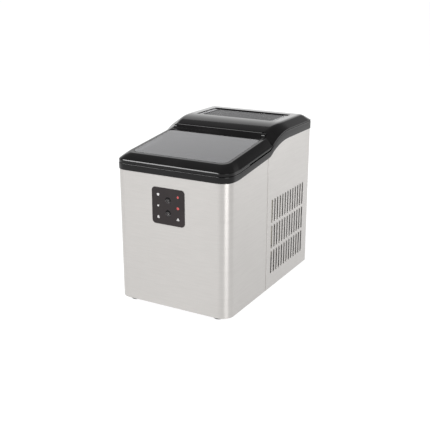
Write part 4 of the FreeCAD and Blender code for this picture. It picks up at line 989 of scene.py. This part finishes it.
# ------------------------------------------------------------------ steel case
@dataclass
class SteelCase:
    """Front and rear steel wraps, their vents, the base and the feet."""

    vent_n: int = 13
    vent_y: float = 1.0
    vent_pitch: float = 12.17
    vent_w: float = 5.0
    vent_z: float = 36.0
    vent_h: float = 46.0
    vent_step: float = 53.0
    vent_rows: int = 3
    hem_half: float = 0.9
    hem_rise: float = 0.95
    hem_deep: float = 1.6
    hem_back: float = 1.2

    def lip(self, side: int, y_mid: float, z_low: float) -> bpy.types.Object:
        """Rolled lip round one slot, folded inwards.

        The slot's outline, two half circles joined by straight edges, is carried round a closed
        section: a low bead on the sheet's face and a thin wall down into the slot.

        Args:
            side: -1 for the left side, 1 for the right.
            y_mid: Middle of the slot.
            z_low: Foot of the slot.

        Returns:
            The lip.
        """
        r = self.vent_w / 2
        half = self.vent_h / 2 - r
        t = np.radians(np.linspace(0.0, 180.0, 9))
        top = np.column_stack([r * np.cos(t), half + r * np.sin(t)])
        outline = np.concatenate([top, -top])
        normal = np.concatenate([top - [0, half], -(top - [0, half])]) / r
        x_face = SIZE.half_w - SIZE.proud
        # Offset outwards from the slot's edge, and rise above the sheet, at each ring.
        stations = [(1.05, 0.0), (1.0, 0.24), (0.70, 0.44), (0.32, 0.40), (0.06, 0.12), (0.0, -0.3),
                    (0.0, -0.88), (0.25, -0.88), (0.30, -0.5), (0.6, -0.2)]
        rings = []
        for off, rise in stations:
            flat = outline + normal * off
            rings.append(np.column_stack([np.full(len(flat), side * (x_face + rise)), y_mid + flat[:, 0],
                                          z_low + self.vent_h / 2 + flat[:, 1]]))
        n = len(outline)
        faces = grid_faces(len(rings), n, wrap_rows=True)
        if side < 0:
            faces = [f[::-1] for f in faces]
        return make_object("lip", np.concatenate(rings), faces, 60.0)

    def build(self) -> None:
        """Dress the wraps and add the slot lips and the seam hem."""
        for name in ("front_wrap", "rear_wrap"):
            DRESSER.node(name, Finish.steel)
        lips = []
        for side in (-1, 1):
            for row in range(self.vent_rows):
                for column in range(self.vent_n):
                    lips.append(self.lip(side, self.vent_y + column * self.vent_pitch,
                                         self.vent_z + row * self.vent_step))
        DRESSER.piece(join("vent_lips", lips), Finish.steel, "case")
        self.seam()
        DRESSER.node("base_tray", Finish.zinc)
        DRESSER.node("rubber_feet", Finish.rubber)
        DRESSER.node("foot_screws", Finish.bolt_steel)
        DRESSER.node("case_screws", Finish.bolt_steel)

    def seam(self) -> None:
        """Folded hem of the front wrap, where it meets the rear wrap on both sides.

        A half oval stands along the front sheet's rear edge, and its foot goes through the sheet.
        """
        x_face = SIZE.half_w - SIZE.proud
        deep = [(self.hem_half, -self.hem_deep), (-self.hem_half, -self.hem_deep)]
        flat = np.vstack([arc_points(1.0, 180.0, 0.0, 9) * [self.hem_half, self.hem_rise], deep])
        n = len(flat)
        z_high = float(collar_low(np.array([SIZE.seam_y]))[0]) + 1.0
        z = np.linspace(SIZE.foot_h + 0.2, z_high, 40)
        hems = []
        for side in (-1, 1):
            rings = [np.column_stack([side * (x_face + flat[:, 1]), SIZE.seam_y - self.hem_back + flat[:, 0],
                                      np.full(n, h)]) for h in z]
            faces = grid_faces(len(rings), n)
            faces.append(list(range(n))[::-1])
            faces.append([(len(rings) - 1) * n + k for k in range(n)])
            if side > 0:
                faces = [f[::-1] for f in faces]
            hems.append(make_object("hem", np.concatenate(rings), faces, 50.0))
        DRESSER.piece(join("seam_hems", hems), Finish.steel, "case")


# ------------------------------------------------------------------ collar
@dataclass
class Collar:
    """Black band on top of the steel, the deck round the mouth and the two hinge ears."""

    edge_low: float = 1.5
    edge_high: float = 1.4
    band_in: float = 4.8
    lip_in: float = 2.4
    lip_drop: float = 11.0
    mouth_half: float = 99.0
    mouth_front: float = -163.0
    mouth_rear: float = -10.0
    well_top: float = 256.4
    deck_rear: float = 20.0
    deck_in: float = 4.6
    deck_drop: float = 1.2
    deck_rise: float = 17.5
    mouth_r_front: float = 14.0
    mouth_r_rear: float = 6.0
    ear_t: float = 7.0
    ear_x: float = 94.3
    ear_r: float = 6.2

    def outline(self, inset: float) -> Outline:
        """Plan outline of the collar, moved inwards."""
        return Outline(SIZE.half_w - inset, -SIZE.half_d + inset, SIZE.half_d - inset, SIZE.front_r - inset,
                       max(SIZE.rear_r - inset, 0.3))

    def band(self) -> bpy.types.Object:
        """Closed band with rounded edges and a lip inside the steel.

        Returns:
            The band.
        """
        rings = []
        r = self.edge_low
        for c, s in arc_points(r, 270.0, 180.0, 6):
            rings.append(ring(self.outline(r + c), lambda x, y, s=s: collar_low(y) + r + s))
        r2 = self.edge_high
        for c, s in arc_points(r2, 180.0, 90.0, 5):
            rings.append(ring(self.outline(r2 + c), lambda x, y, s=s: collar_high(y) - r2 + s))
        rings.append(ring(self.outline(self.band_in), lambda x, y: collar_high(y)))
        rings.append(ring(self.outline(self.band_in), lambda x, y: collar_low(y) - self.lip_drop))
        rings.append(ring(self.outline(self.lip_in), lambda x, y: collar_low(y) - self.lip_drop))
        rings.append(ring(self.outline(self.lip_in), lambda x, y: collar_low(y) + 0.3))
        rings.append(ring(self.outline(r), lambda x, y: collar_low(y)))
        return loft("collar_band", rings, closed=True)

    def deck(self) -> bpy.types.Object:
        """Deck from the band to the mouth, with the mouth's wall.

        Returns:
            The deck.
        """
        low, high = SIZE.band_top - self.deck_drop, SIZE.band_top + self.deck_rise

        def height(drop: float) -> Height:
            """Deck's height less a drop."""
            return lambda x, y: collar_line(y, low, high) - drop

        def mouth(out: float) -> Outline:
            """Plan outline of the mouth, moved outwards."""
            return Outline(self.mouth_half + out, self.mouth_front - out, self.mouth_rear + out,
                           self.mouth_r_front + out, self.mouth_r_rear + out)

        outer = Outline(SIZE.half_w - self.deck_in, -SIZE.half_d + self.deck_in, self.deck_rear,
                        SIZE.front_r - self.deck_in, 1.0)
        rings = [ring(outer, height(0.0)), ring(mouth(1.0), height(0.0)), ring(mouth(0.3), height(0.3)),
                 ring(mouth(0.0), height(1.0)), ring(mouth(0.0), self.well_top),
                 ring(mouth(SIZE.wall), self.well_top), ring(mouth(SIZE.wall), height(SIZE.wall)),
                 ring(outer, height(SIZE.wall))]
        return loft("collar_deck", rings, closed=True)

    def ears(self) -> bpy.types.Object:
        """Two upright ears with round heads, which hold the hinge pins.

        Returns:
            Both ears.
        """
        head = arc_points(self.ear_r, -8.0, 180.0, 17) + [SIZE.hinge_y, SIZE.hinge_z]
        foot = [(SIZE.hinge_y - self.ear_r, 282.0), (SIZE.hinge_y + self.ear_r + 2.6, 284.0)]
        section = np.vstack([foot, head])
        parts = []
        for x0 in (-self.ear_x - self.ear_t, self.ear_x):
            parts.append(extruded("ear", section, x0, x0 + self.ear_t))
        return finish_edges(join("hinge_ears", parts), 0.5)

    def build(self) -> None:
        """Make and dress the collar."""
        for obj in (self.band(), self.deck(), self.ears()):
            DRESSER.piece(obj, Finish.black_gloss, "case", replaces=["top_collar"])
        DRESSER.node("hinge_pins", Finish.bolt_steel)


# ------------------------------------------------------------------ lid
@dataclass
class Lid:
    """Sloping lid with its bevelled rim, hinge spine and smoked window."""

    edge_in: float = 0.4
    skirt_gap: float = 0.5
    notch_gap: float = 2.6
    notch_y: float = -100.0
    ridge_arcs: tuple[tuple[float, float, float], ...] = (
        (0.0, 32.0, 1.0), (32.0, 42.0, 11.0), (42.0, 66.0, 1.2))
    crease_r: float = 17.0
    window_half: float = 100.0
    window_front: float = -151.0
    window_rear: float = -16.0
    window_r: float = 13.0
    window_t: float = 2.6
    spine_half: float = 94.0
    barrel_r: float = 7.0

    def outline(self, inset: float, rear_in: float = 0.0) -> Outline:
        """Plan outline of the lid's rim, moved inwards."""
        return Outline(SIZE.half_w - self.edge_in - inset, -SIZE.half_d + self.edge_in + inset,
                       SIZE.lid_rear_y - rear_in, max(SIZE.front_r - inset, 1.0), 1.6)

    def crease(self, out: float = 0.0) -> Outline:
        """Plan outline of the crease between bevel and flat top."""
        return Outline(SIZE.crease_side + out, SIZE.crease_front - out, SIZE.lid_rear_y,
                       self.crease_r + out, 1.6)

    def pane(self, inset: float) -> Outline:
        """Plan outline of the window opening, moved inwards."""
        return Outline(self.window_half - inset, self.window_front + inset, self.window_rear - inset,
                       self.window_r - inset * 0.6, 7.0)

    def foot(self, x: Array, y: Array) -> Array:
        """Lower edge of the skirt: a close gap over the collar, wider behind the notch."""
        step = np.clip((y - self.notch_y) / 1.2, 0.0, 1.0)
        return collar_high(y) + self.skirt_gap + (self.notch_gap - self.skirt_gap) * step

    def ridge(self, y: Array) -> Array:
        """Outer ridge of the lid, parallel to the collar."""
        return SIZE.band_top + SIZE.ridge_h + np.maximum(0.0, y - SIZE.rise_y) * SIZE.rise

    def ridge_profile(self) -> Array:
        """Inset and rise from the skirt's top to the foot of the bevel.

        Arcs joined end to end, each given by where the face's normal starts and ends above level
        and by its radius: the wide one in the middle is a narrow ledge that shows as a light line.

        Returns:
            Points as inset and rise, in millimetres.
        """
        steps = [np.zeros((1, 2))]
        for low, high, radius in self.ridge_arcs:
            turns = np.radians(np.linspace(low, high, 6))
            length = radius * np.diff(turns)
            middle = (turns[:-1] + turns[1:]) / 2
            steps.append(np.column_stack([length * np.sin(middle), length * np.cos(middle)]))
        return np.cumsum(np.vstack(steps), axis=0)

    def shell(self) -> bpy.types.Object:
        """Closed ring stack: skirt, ridge, bevel, crease, top, window seat and the inside.

        Returns:
            The closed shell.
        """
        w = SIZE.wall
        profile = self.ridge_profile()
        ridge_in, ridge_up = profile[-1]
        rings = [ring(self.outline(0.5), self.foot),
                 ring(self.outline(0.15), lambda x, y: self.foot(x, y) + 0.15),
                 ring(self.outline(0.0), lambda x, y: self.foot(x, y) + 0.5)]
        for share in (0.35, 0.7):
            rings.append(ring(self.outline(0.0), lambda x, y, share=share: self.foot(x, y) + 0.5
                              + (self.ridge(y) - ridge_up - 0.6 - self.foot(x, y)) * share))
        for inset, rise in profile:
            rings.append(ring(self.outline(inset), lambda x, y, rise=rise: self.ridge(y) - ridge_up + rise))
        start = self.outline(ridge_in + 0.05).points()
        stop = self.crease().points()
        z_start = self.ridge(start[:, 1]) + 0.1
        z_stop = lid_plane(stop[:, 1])
        for share in (0.08, 0.25, 0.5, 0.75, 0.93):
            crown = 0.55 * math.sin(math.pi * share)
            flat = start * (1 - share) + stop * share
            rings.append(np.column_stack([flat, z_start * (1 - share) + z_stop * share + crown]))
        rings.append(ring(self.crease(-0.8), lambda x, y: lid_plane(y) + 0.02))
        rings.append(ring(self.crease(-2.0), lambda x, y: lid_plane(y)))
        rings.append(ring(self.pane(-0.3), lambda x, y: lid_plane(y)))
        rings.append(ring(self.pane(0.0), lambda x, y: lid_plane(y) - 0.3))
        rings.append(ring(self.pane(0.0), lambda x, y: lid_plane(y) - self.window_t))
        rings.append(ring(self.pane(4.0), lambda x, y: lid_plane(y) - self.window_t))
        rings.append(ring(self.pane(4.0), lambda x, y: lid_plane(y) - self.window_t - 1.8))
        rings.append(ring(self.pane(-1.5), lambda x, y: lid_plane(y) - self.window_t - 1.8))
        inner = Outline(SIZE.crease_side - 2.0, SIZE.crease_front + 2.0, SIZE.lid_rear_y - w,
                        self.crease_r - 2.0, 1.0)
        rings.append(ring(inner, lambda x, y: lid_plane(y) - w * 1.02 - 1.2))
        rings.append(ring(self.outline(w, w), lambda x, y: self.ridge(y) - w * 0.6))
        rings.append(ring(self.outline(w, w), lambda x, y: self.foot(x, y)))
        return loft("lid_shell", rings, closed=True, sharp=40.0)

    def spine(self) -> bpy.types.Object:
        """Hinge spine: a steep front face that runs up into the barrel.

        Returns:
            The spine.
        """
        foot = [(-6.4, 300.0), (-2.5, 301.6)]
        barrel = arc_points(self.barrel_r, -125.0, 104.0, 30) + [SIZE.hinge_y, SIZE.hinge_z]
        face = [(1.9, 315.75), (1.35, 315.3), (-3.5, 308.5), (-4.1, 307.9), (-6.4, 307.5)]
        section = np.vstack([foot, barrel, face])
        return finish_edges(extruded("hinge_spine", section, -self.spine_half, self.spine_half, 30.0),
                            0.35, 2, 50.0)

    def build(self) -> None:
        """Make and dress the lid."""
        DRESSER.piece(self.shell(), Finish.black_gloss, "lid", replaces=["lid_frame"])
        DRESSER.piece(self.spine(), Finish.black_gloss, "lid", replaces=["lid_frame"])
        DRESSER.node("lid_window", Finish.smoked)


# ------------------------------------------------------------------ rear cover
@dataclass
class RearCover:
    """Raised rear housing with its sloping brow, side facets and top grille."""

    front_y: float = 6.5
    cheek_y: float = -3.2
    cheek_x: float = 102.0
    cheek_deep: float = 12.0
    trough_r: float = 7.4
    parting: float = 0.5
    grille_half: float = 88.0
    grille_y0: float = 65.0
    grille_y1: float = 147.0
    recess: float = 3.2
    skin: float = 2.0
    step: float = 2.0
    slat_n: int = 8
    slat_t: float = 1.3
    grille_drop: float = 3.0
    grille_gap: float = 0.4
    rail_w: float = 3.4
    end_w: float = 3.0
    tooth_l: float = 9.0
    blade_in: float = 6.0

    @property
    def slat_pitch(self) -> float:
        """Distance from one blade to the next."""
        clear = self.grille_y1 - self.grille_y0 - 2 * self.grille_gap - 2 * self.rail_w
        return clear / self.slat_n

    def crown(self, y: Array) -> Array:
        """Height along the middle.

        The front is top - 12 * (1 - v)^2.4, v the share of 71 mm behind y = 4, and a plane that
        falls towards the back takes over from y = 171.

        Args:
            y: Places in depth.

        Returns:
            Height at each place.
        """
        v = np.clip((y - 4.0) / 71.0, -0.12, 1.0)
        front = SIZE.top - 12.0 * (1.0 - v) ** 2.4
        return soft_min(front, 327.2 - (y - 171.0) * 0.52, 5.0)

    def surface(self, x: Array, y: Array) -> Array:
        """Crown and side facets, blended.

        A facet is a plane at each station from the shoulder line, 3 mm above the collar, up to
        the crown's edge, and the smaller of the two heights shows.

        Args:
            x: Places across.
            y: Places in depth.

        Returns:
            Height of the outside at each place.
        """
        top = self.crown(y)
        v = np.clip((y - 4.0) / 51.0, -0.15, 1.0)
        edge = 104.0 - 7.0 * (1.0 - v) ** 2
        shoulder = collar_high(y) + 3.0 - np.maximum(0.0, y - 165.0) * 0.12
        lift = np.maximum(top, shoulder + 1.0) - shoulder
        facet = shoulder + (SIZE.half_w - np.abs(x)) * lift / (SIZE.half_w - edge)
        return soft_min(top, facet, 2.4)

    def lines(self, marks: Sequence[float]) -> Array:
        """Grid lines through every mark with even steps between them.

        Args:
            marks: Places that must have a line, in order.

        Returns:
            Every line's place.
        """
        parts = [np.array([marks[0]])]
        for a, b in zip(marks[:-1], marks[1:]):
            count = max(1, int(math.ceil((b - a) / self.step)))
            parts.append(np.linspace(a, b, count + 1)[1:])
        return np.concatenate(parts)

    def underside(self, x: Array, y: Array, top: Array) -> Array:
        """Height of the inner face.

        A skin's thickness below the outside, never inside the round trough for the hinge barrel,
        and down to the parting line along the outer walls and under the two cheeks.

        Args:
            x: Places across.
            y: Places in depth.
            top: Height of the outside at each place.

        Returns:
            Height of the inner face at each place.
        """
        under = top - self.skin
        reach = np.clip(self.trough_r ** 2 - (y - SIZE.hinge_y) ** 2, 0.0, None)
        trough = np.where(reach > 0, SIZE.hinge_z + np.sqrt(reach), 0.0)
        inside = np.abs(x) < self.cheek_x + 0.01
        under = np.where(inside, np.minimum(np.maximum(under, trough), top - 0.05), under)
        edge = (np.abs(x) > SIZE.half_w - self.skin - 0.01) | (y > SIZE.half_d - self.skin - 0.01)
        cheek = (np.abs(x) > self.cheek_x - 0.01) & (y < self.cheek_deep)
        parting = collar_high(y) + self.parting
        across = np.abs(x) < self.grille_half + 0.01
        opening = across & (y > self.grille_y0 - 0.01) & (y < self.grille_y1 + 0.01)
        under = np.where(opening, top - self.recess - 3.0, under)
        return np.where(edge | cheek, np.minimum(parting, top - 0.5), under)

    def shell(self) -> bpy.types.Object:
        """Closed height-field slab on a grid, with the notch and the grille left out.

        Returns:
            The closed shell.
        """
        hw, hd, corner = SIZE.half_w, SIZE.half_d, SIZE.rear_r
        xs = self.lines([-hw, -hw + self.skin, -hw + corner, -self.cheek_x, -self.grille_half, self.grille_half,
                         self.cheek_x, hw - corner, hw - self.skin, hw])
        ys = self.lines([self.cheek_y, self.front_y, self.cheek_deep, self.grille_y0, self.grille_y1,
                         hd - corner, hd - self.skin, hd])
        yy, xx = np.meshgrid(ys, xs, indexing="ij")
        faces = np.array(grid_faces(len(ys), len(xs), wrap_cols=False))
        flat_x, flat_y = xx.ravel(), yy.ravel()
        mid_x = flat_x[faces].mean(axis=1)
        mid_y = flat_y[faces].mean(axis=1)
        notch = (np.abs(mid_x) < self.cheek_x) & (mid_y < self.front_y)
        hole = (np.abs(mid_x) < self.grille_half) & (mid_y > self.grille_y0) & (mid_y < self.grille_y1)
        faces = faces[~(notch | hole)]
        # A corner square is drawn in to a quarter disc: scale by the larger side over the distance.
        a = np.maximum(0.0, np.abs(flat_x) - (hw - corner))
        b = np.maximum(0.0, flat_y - (hd - corner))
        both = (a > 0) & (b > 0)
        scale = np.where(both, np.maximum(a, b) / np.maximum(np.hypot(a, b), 1e-9), 1.0)
        px = np.where(both, np.sign(flat_x) * (hw - corner + a * scale), flat_x)
        py = np.where(both, hd - corner + b * scale, flat_y)
        top = self.surface(px, py)
        under = self.underside(flat_x, flat_y, top)
        obj = make_object("rear_housing", *slab(np.column_stack([px, py, top]), under, faces), 30.0)
        return finish_edges(obj, 0.6, 3, 40.0)

    def grille(self) -> bpy.types.Object:
        """Louvre panel: a frame and eight tilted blades.

        Returns:
            The frame and its blades.
        """
        top = SIZE.top - self.grille_drop
        x1 = self.grille_half - self.grille_gap
        y0, y1 = self.grille_y0 + self.grille_gap, self.grille_y1 - self.grille_gap
        rim, pitch = self.rail_w, self.slat_pitch
        parts = []
        for a, b in ((y0, y0 + rim), (y1 - rim, y1)):
            parts.append(extruded("rail", [(a, top - 2.8), (b, top - 2.8), (b, top), (a, top)], -x1, x1))
        for i in range(self.slat_n):
            y = y0 + rim + pitch * i
            section = [(y + 0.4, top - 2.9), (y + 0.4 + self.slat_t, top - 3.0), (y + pitch - 0.6, top - 0.9),
                       (y + pitch - 0.6, top - 0.1), (y + pitch - 1.1, top + 0.1), (y + 0.4, top - 1.7)]
            parts.append(extruded("blade", section, -x1 + self.blade_in, x1 - self.blade_in))
        for side in (-1, 1):
            a, b = sorted((side * x1, side * (x1 - self.end_w)))
            parts.append(extruded("end", [(y0, top - 2.8), (y1, top - 2.8), (y1, top), (y0, top)], a, b))
        return finish_edges(join("grille_louvres", parts), 0.25, 2)

    def teeth(self) -> bpy.types.Object:
        """Row of lighter stepped teeth at both ends of the louvres.

        Returns:
            Both rows of teeth.
        """
        top = SIZE.top - self.grille_drop
        x1 = self.grille_half - self.grille_gap
        pitch = self.slat_pitch
        parts = []
        for side in (-1, 1):
            a, b = sorted((side * x1, side * (x1 - self.tooth_l)))
            for i in range(self.slat_n):
                y = self.grille_y0 + self.grille_gap + self.rail_w + pitch * i
                section = [(y + 0.5, top - 2.0), (y + pitch - 2.2, top - 2.0), (y + pitch - 2.2, top + 1.2),
                           (y + 2.2, top + 1.9), (y + 0.5, top + 1.2)]
                parts.append(extruded("tooth", section, a, b))
        return finish_edges(join("grille_teeth", parts), 0.25, 2)

    def build(self) -> None:
        """Make and dress the housing and its grille."""
        DRESSER.piece(self.shell(), Finish.black_gloss, "case", replaces=["rear_cover"])
        DRESSER.piece(self.grille(), Finish.grille_satin, "case", replaces=["top_grille"])
        DRESSER.piece(self.teeth(), Finish.grille_tooth, "case", replaces=["top_grille"])


# ------------------------------------------------------------------ control panel
class Hollow(Enum):
    """Shape in the hollow of a key, as radius and distance from its edge to its middle."""

    PIP = ((3.2, 1.6), (2.6, 2.3), (1.6, 2.75), (0.8, 2.95), (0.0, 3.0))
    RING = ((3.2, 1.55), (2.9, 2.1), (2.5, 2.35), (2.1, 2.1), (1.7, 1.6), (0.0, 1.55))


class Sign(Enum):
    """Generic pictograms of the panel."""

    CUBE = "cube"
    DOT = "dot"
    BELL = "bell"
    DROP = "drop"
    CONE = "cone"
    SHARD = "shard"


@dataclass
class ControlPanel:
    """Printed overlay with two dished buttons and six indicator signs."""

    x: float = -3.0
    z: float = 203.0
    face_y: float = -178.6
    button_r: float = 6.2
    button_dz: float = 12.3
    icon_dx: float = 21.0
    icon_dz: float = 20.9
    icon_r: float = 2.5
    sign_scale: float = 1.35

    def cap(self, name: str, dz: float, hollow: Hollow) -> bpy.types.Object:
        """Dished cap: a raised rim, a hollow and a low pip or ring inside it.

        Args:
            name: Piece name.
            dz: Height above the panel's middle.
            hollow: Ring or pip in the hollow.

        Returns:
            The cap, facing -Y.
        """
        r = self.button_r
        rim = [(0.0, 0.0), (r - 0.2, 0.0), (r, 0.2), (r, 3.4), (r - 0.15, 3.7), (r - 0.45, 3.75),
               (r - 0.75, 3.3), (r - 1.2, 1.9), (r - 1.8, 1.55)]
        profile = np.vstack([rim, hollow.value])[::-1] * [1.0, -1.0]
        centre = (self.x, self.face_y + 3.6, self.z + dz)
        return turned(name, profile, centre, Axis.Y, 64)

    def arc(self, name: str, dz: float) -> bpy.types.Object:
        """Crescent of painted shade in black over the top of a cap, where the dish's upper wall falls in
        shadow.

        It lies between the arcs of two circles, the inner one smaller and moved down and aside.

        Args:
            name: Piece name.
            dz: Height of the cap above the panel's middle.

        Returns:
            A thin plate just proud of the cap's rim.
        """
        outer = arc_points(self.button_r - 0.3, -15.0, 160.0, 28)
        inner = arc_points(self.button_r - 1.9, 160.0, -15.0, 28) - [0.5, 0.9]
        return flat_sign(name, np.vstack([outer, inner]), self.x, self.z + dz, self.face_y - 0.18)

    def sign(self, kind: Sign) -> Array:
        """Outline of a generic pictogram at its printed size.

        Args:
            kind: Which pictogram.

        Returns:
            Rows of x and z in millimetres.
        """
        outlines = {
            Sign.CUBE: [(-1.7, -1.2), (0.2, -2.0), (1.9, -1.0), (1.8, 1.3), (-0.1, 2.1), (-1.8, 1.2)],
            Sign.DOT: circle(1.35, 24),
            Sign.BELL: [(-2.1, -1.9), (1.9, -2.0), (1.7, -0.9), (0.7, 0.2), (0.6, 1.5), (-0.3, 2.1),
                        (-1.2, 1.3), (-1.4, 0.0)],
            Sign.DROP: np.vstack([arc_points(1.5, -205.0, 25.0, 18) - [0.0, 0.5], [(0.0, 2.3)]]),
            Sign.CONE: [(-2.2, -1.7), (2.2, -1.7), (0.35, 2.1), (-0.35, 2.1)],
            Sign.SHARD: [(-1.9, -1.5), (0.5, -2.2), (2.1, -0.4), (1.6, 1.3), (-0.6, 2.0), (-2.1, 0.6)]}
        return np.asarray(outlines[kind], float) * self.sign_scale

    def build(self) -> None:
        """Make and dress the panel."""
        DRESSER.node("panel_overlay", Finish.panel_print)
        keys = (("power_cap", "power_button", "power_key", self.button_dz, Hollow.PIP),
                ("select_cap", "select_button", "select_key", -self.button_dz, Hollow.RING))
        for name, node, body, dz, hollow in keys:
            DRESSER.piece(self.cap(name, dz, hollow), Finish.button_cap, body, replaces=[node])
            # The crescent is painted shade: a near-black plate where the dish's upper wall falls in shadow.
            DRESSER.piece(self.arc(name.replace("cap", "arc"), dz), Finish.button_arc, body,
                          replaces=[node])
        spots = {"white_signs": (Finish.lens_white, "white_indicators",
                                 [(-1, 1, Sign.CUBE), (-1, 0, Sign.DOT), (-1, -1, Sign.BELL),
                                  (1, -1, Sign.CONE)]),
                 "red_signs": (Finish.lens_red, "red_indicators",
                               [(1, 1, Sign.DROP), (1, 0, Sign.SHARD)])}
        for name, (finish, node, places) in spots.items():
            plates = []
            lenses = []
            for sx, row, kind in places:
                x = self.x + sx * self.icon_dx
                z = self.z + row * self.icon_dz
                plates.append(flat_sign("sign", self.sign(kind), x, z, self.face_y - 0.12))
                lenses.append(flat_sign("lens", circle(self.icon_r + 0.05), x, z, self.face_y - 0.02, 3.2))
            DRESSER.piece(join(name, plates), finish, "case", replaces=[node])
            DRESSER.piece(join(name.replace("signs", "lenses"), lenses), Finish.lens_dark, "case",
                          replaces=[node])
        DRESSER.node("panel_housing", Finish.black_matte)
        DRESSER.node("control_board", Finish.board_green)
        DRESSER.node("tact_switches", Finish.black_matte)


# ------------------------------------------------------------------ works inside
@dataclass
class Works:
    """Everything inside and behind the case that keeps its solid and gets its finish."""

    finishes: dict[str, Finish] = field(default_factory=lambda: {
        "water_reservoir": Finish.white_plastic, "foam_jacket": Finish.foam,
        "ice_basket": Finish.basket_plastic, "water_tray": Finish.white_plastic,
        "ice_rake": Finish.white_plastic, "unit_frame": Finish.white_plastic,
        "tray_motor": Finish.black_matte, "evaporator": Finish.nickel, "compressor": Finish.black_paint,
        "compressor_grommets": Finish.rubber, "compressor_bolts": Finish.bolt_steel,
        "fan_shroud": Finish.black_matte, "fan_motor": Finish.black_matte, "fan_rotor": Finish.black_matte,
        "condenser": Finish.aluminium, "suction_line": Finish.copper, "liquid_line": Finish.copper,
        "hot_gas_valve": Finish.brass, "discharge_line": Finish.copper, "filter_drier": Finish.copper,
        "water_pump": Finish.black_matte, "supply_hose": Finish.clear_hose, "fill_hose": Finish.clear_hose,
        "drain_hose": Finish.clear_hose, "drain_port": Finish.white_plastic, "drain_plug": Finish.rubber,
        "cord_gland": Finish.black_matte, "board_bracket": Finish.zinc, "power_board": Finish.board_green,
        "board_spacers": Finish.white_plastic, "ice_sensors": Finish.black_matte})

    def build(self) -> None:
        """Dress every solid of the works."""
        for name, finish in self.finishes.items():
            DRESSER.node(name, finish)
            LOG.info("%s: %s", name, finish.name)


# ------------------------------------------------------------------ studio
@dataclass
class Softbox:
    """Rectangular light at a direction from the machine."""

    name: str
    direction: tuple[float, float, float]
    distance: float
    width: float
    height: float
    radiance: float

    def build(self, target: Vector) -> None:
        """Place the light so that it faces the target; its power is pi * radiance * area.

        Args:
            target: Point that the light faces.
        """
        data = bpy.data.lights.new(self.name, "AREA")
        data.shape = "RECTANGLE"
        data.size = self.width
        data.size_y = self.height
        data.energy = math.pi * self.radiance * self.width * self.height
        light = bpy.data.objects.new(self.name, data)
        aim = Vector(self.direction).normalized()
        light.location = target + aim * self.distance
        light.rotation_euler = aim.to_track_quat("Z", "Y").to_euler()
        bpy.context.scene.collection.objects.link(light)


@dataclass
class Studio:
    """Pale floor, soft lights, sky and camera."""

    azimuth: float = 29.55
    elevation: float = 17.74
    distance: float = 1.521
    target: tuple[float, float, float] = (-0.0070, 0.0, 0.1376)
    lens: float = 62.8
    floor_half: float = 60.0
    floor_glow: float = 0.93
    floor_tone: float = 0.16
    floor_veil: float = 0.15
    horizon: float = 1.0
    overhead: float = 0.30

    def camera(self) -> None:
        """Camera on a sphere round the target: azimuth from -Y towards +X, then elevation."""
        az, el = math.radians(self.azimuth), math.radians(self.elevation)
        aim = Vector((math.cos(el) * math.sin(az), -math.cos(el) * math.cos(az), math.sin(el)))
        data = bpy.data.cameras.new("camera")
        data.lens = self.lens
        data.sensor_width = 36.0
        data.clip_end = 200.0
        camera = bpy.data.objects.new("camera", data)
        camera.location = Vector(self.target) + aim * self.distance
        camera.rotation_euler = aim.to_track_quat("Z", "Y").to_euler()
        bpy.context.scene.collection.objects.link(camera)
        bpy.context.scene.camera = camera

    def floor(self) -> None:
        """Large level sheet that looks pale because it glows.

        Its own tone is dark, so that the softboxes don't bounce off it on to the steel.
        """
        h = self.floor_half / MM
        corners = np.array([[-h, -h, 0], [h, -h, 0], [h, h, 0], [-h, h, 0]], float)
        sheet = make_object("floor", corners, [[0, 1, 2, 3]])
        shader = Shader("pale_card")
        shader.set(Roughness=0.9, Specular_IOR_Level=0.1, Emission_Color=(1.0, 1.0, 1.0, 1.0),
                   Emission_Strength=self.floor_glow)
        skin = shader.group(GROUPS.skin(), Pebble=90.0, Marks=3.0)
        shader.tint(skin.outputs["Veil"], (self.floor_tone,) * 3, (self.floor_veil,) * 3)
        shader.bump((skin.outputs["Height"], 0.02, 0.0005))
        sheet.data.materials.append(shader.material)

    def sky(self) -> None:
        """Sky that is bright near the horizon and darker overhead."""
        world = bpy.data.worlds.new("studio_sky")
        bpy.context.scene.world = world
        world.use_nodes = True
        nodes, links = world.node_tree.nodes, world.node_tree.links
        coords = nodes.new("ShaderNodeTexCoord")
        split = nodes.new("ShaderNodeSeparateXYZ")
        ramp = nodes.new("ShaderNodeMapRange")
        ramp.interpolation_type = "SMOOTHSTEP"
        ramp.inputs["From Min"].default_value = 0.10
        ramp.inputs["From Max"].default_value = 0.62
        ramp.inputs["To Min"].default_value = self.horizon
        ramp.inputs["To Max"].default_value = self.overhead
        links.new(coords.outputs["Generated"], split.inputs["Vector"])
        links.new(split.outputs["Z"], ramp.inputs["Value"])
        links.new(ramp.outputs["Result"], nodes["Background"].inputs["Strength"])
        nodes["Background"].inputs["Color"].default_value = (1.0, 1.0, 1.0, 1.0)

    def build(self) -> None:
        """Set up floor, sky, lights, camera and a plain view of the colours."""
        self.floor()
        self.sky()
        target = Vector((0.0, 0.0, 0.2))
        for box in (Softbox("key_light", (-0.55, -0.62, 0.75), 3.6, 2.6, 1.4, 2.2),
                    Softbox("ridge_light", (-0.47, -0.53, 0.71), 3.2, 3.0, 0.75, 19.0),
                    Softbox("corner_light", (0.83, -0.47, 0.20), 3.6, 2.0, 2.6, 5.0),
                    Softbox("back_light", (-0.4697, 0.79, 0.36), 3.0, 2.6, 1.5, 0.76),
                    Softbox("side_light", (0.60, 0.80, 0.06), 4.0, 2.0, 1.2, 1.8)):
            box.build(target)
        self.camera()
        bpy.context.scene.view_settings.view_transform = "Standard"


def main() -> None:
    """Build every sub-assembly in order."""
    logging.basicConfig(level=logging.INFO, format="%(name)s: %(message)s")
    for assembly in (Studio(), SteelCase(), Collar(), Lid(), RearCover(), ControlPanel(), Works()):
        LOG.info("building %s", type(assembly).__name__)
        assembly.build()
    bpy.context.view_layer.update()


if __name__ == "__main__":
    main()
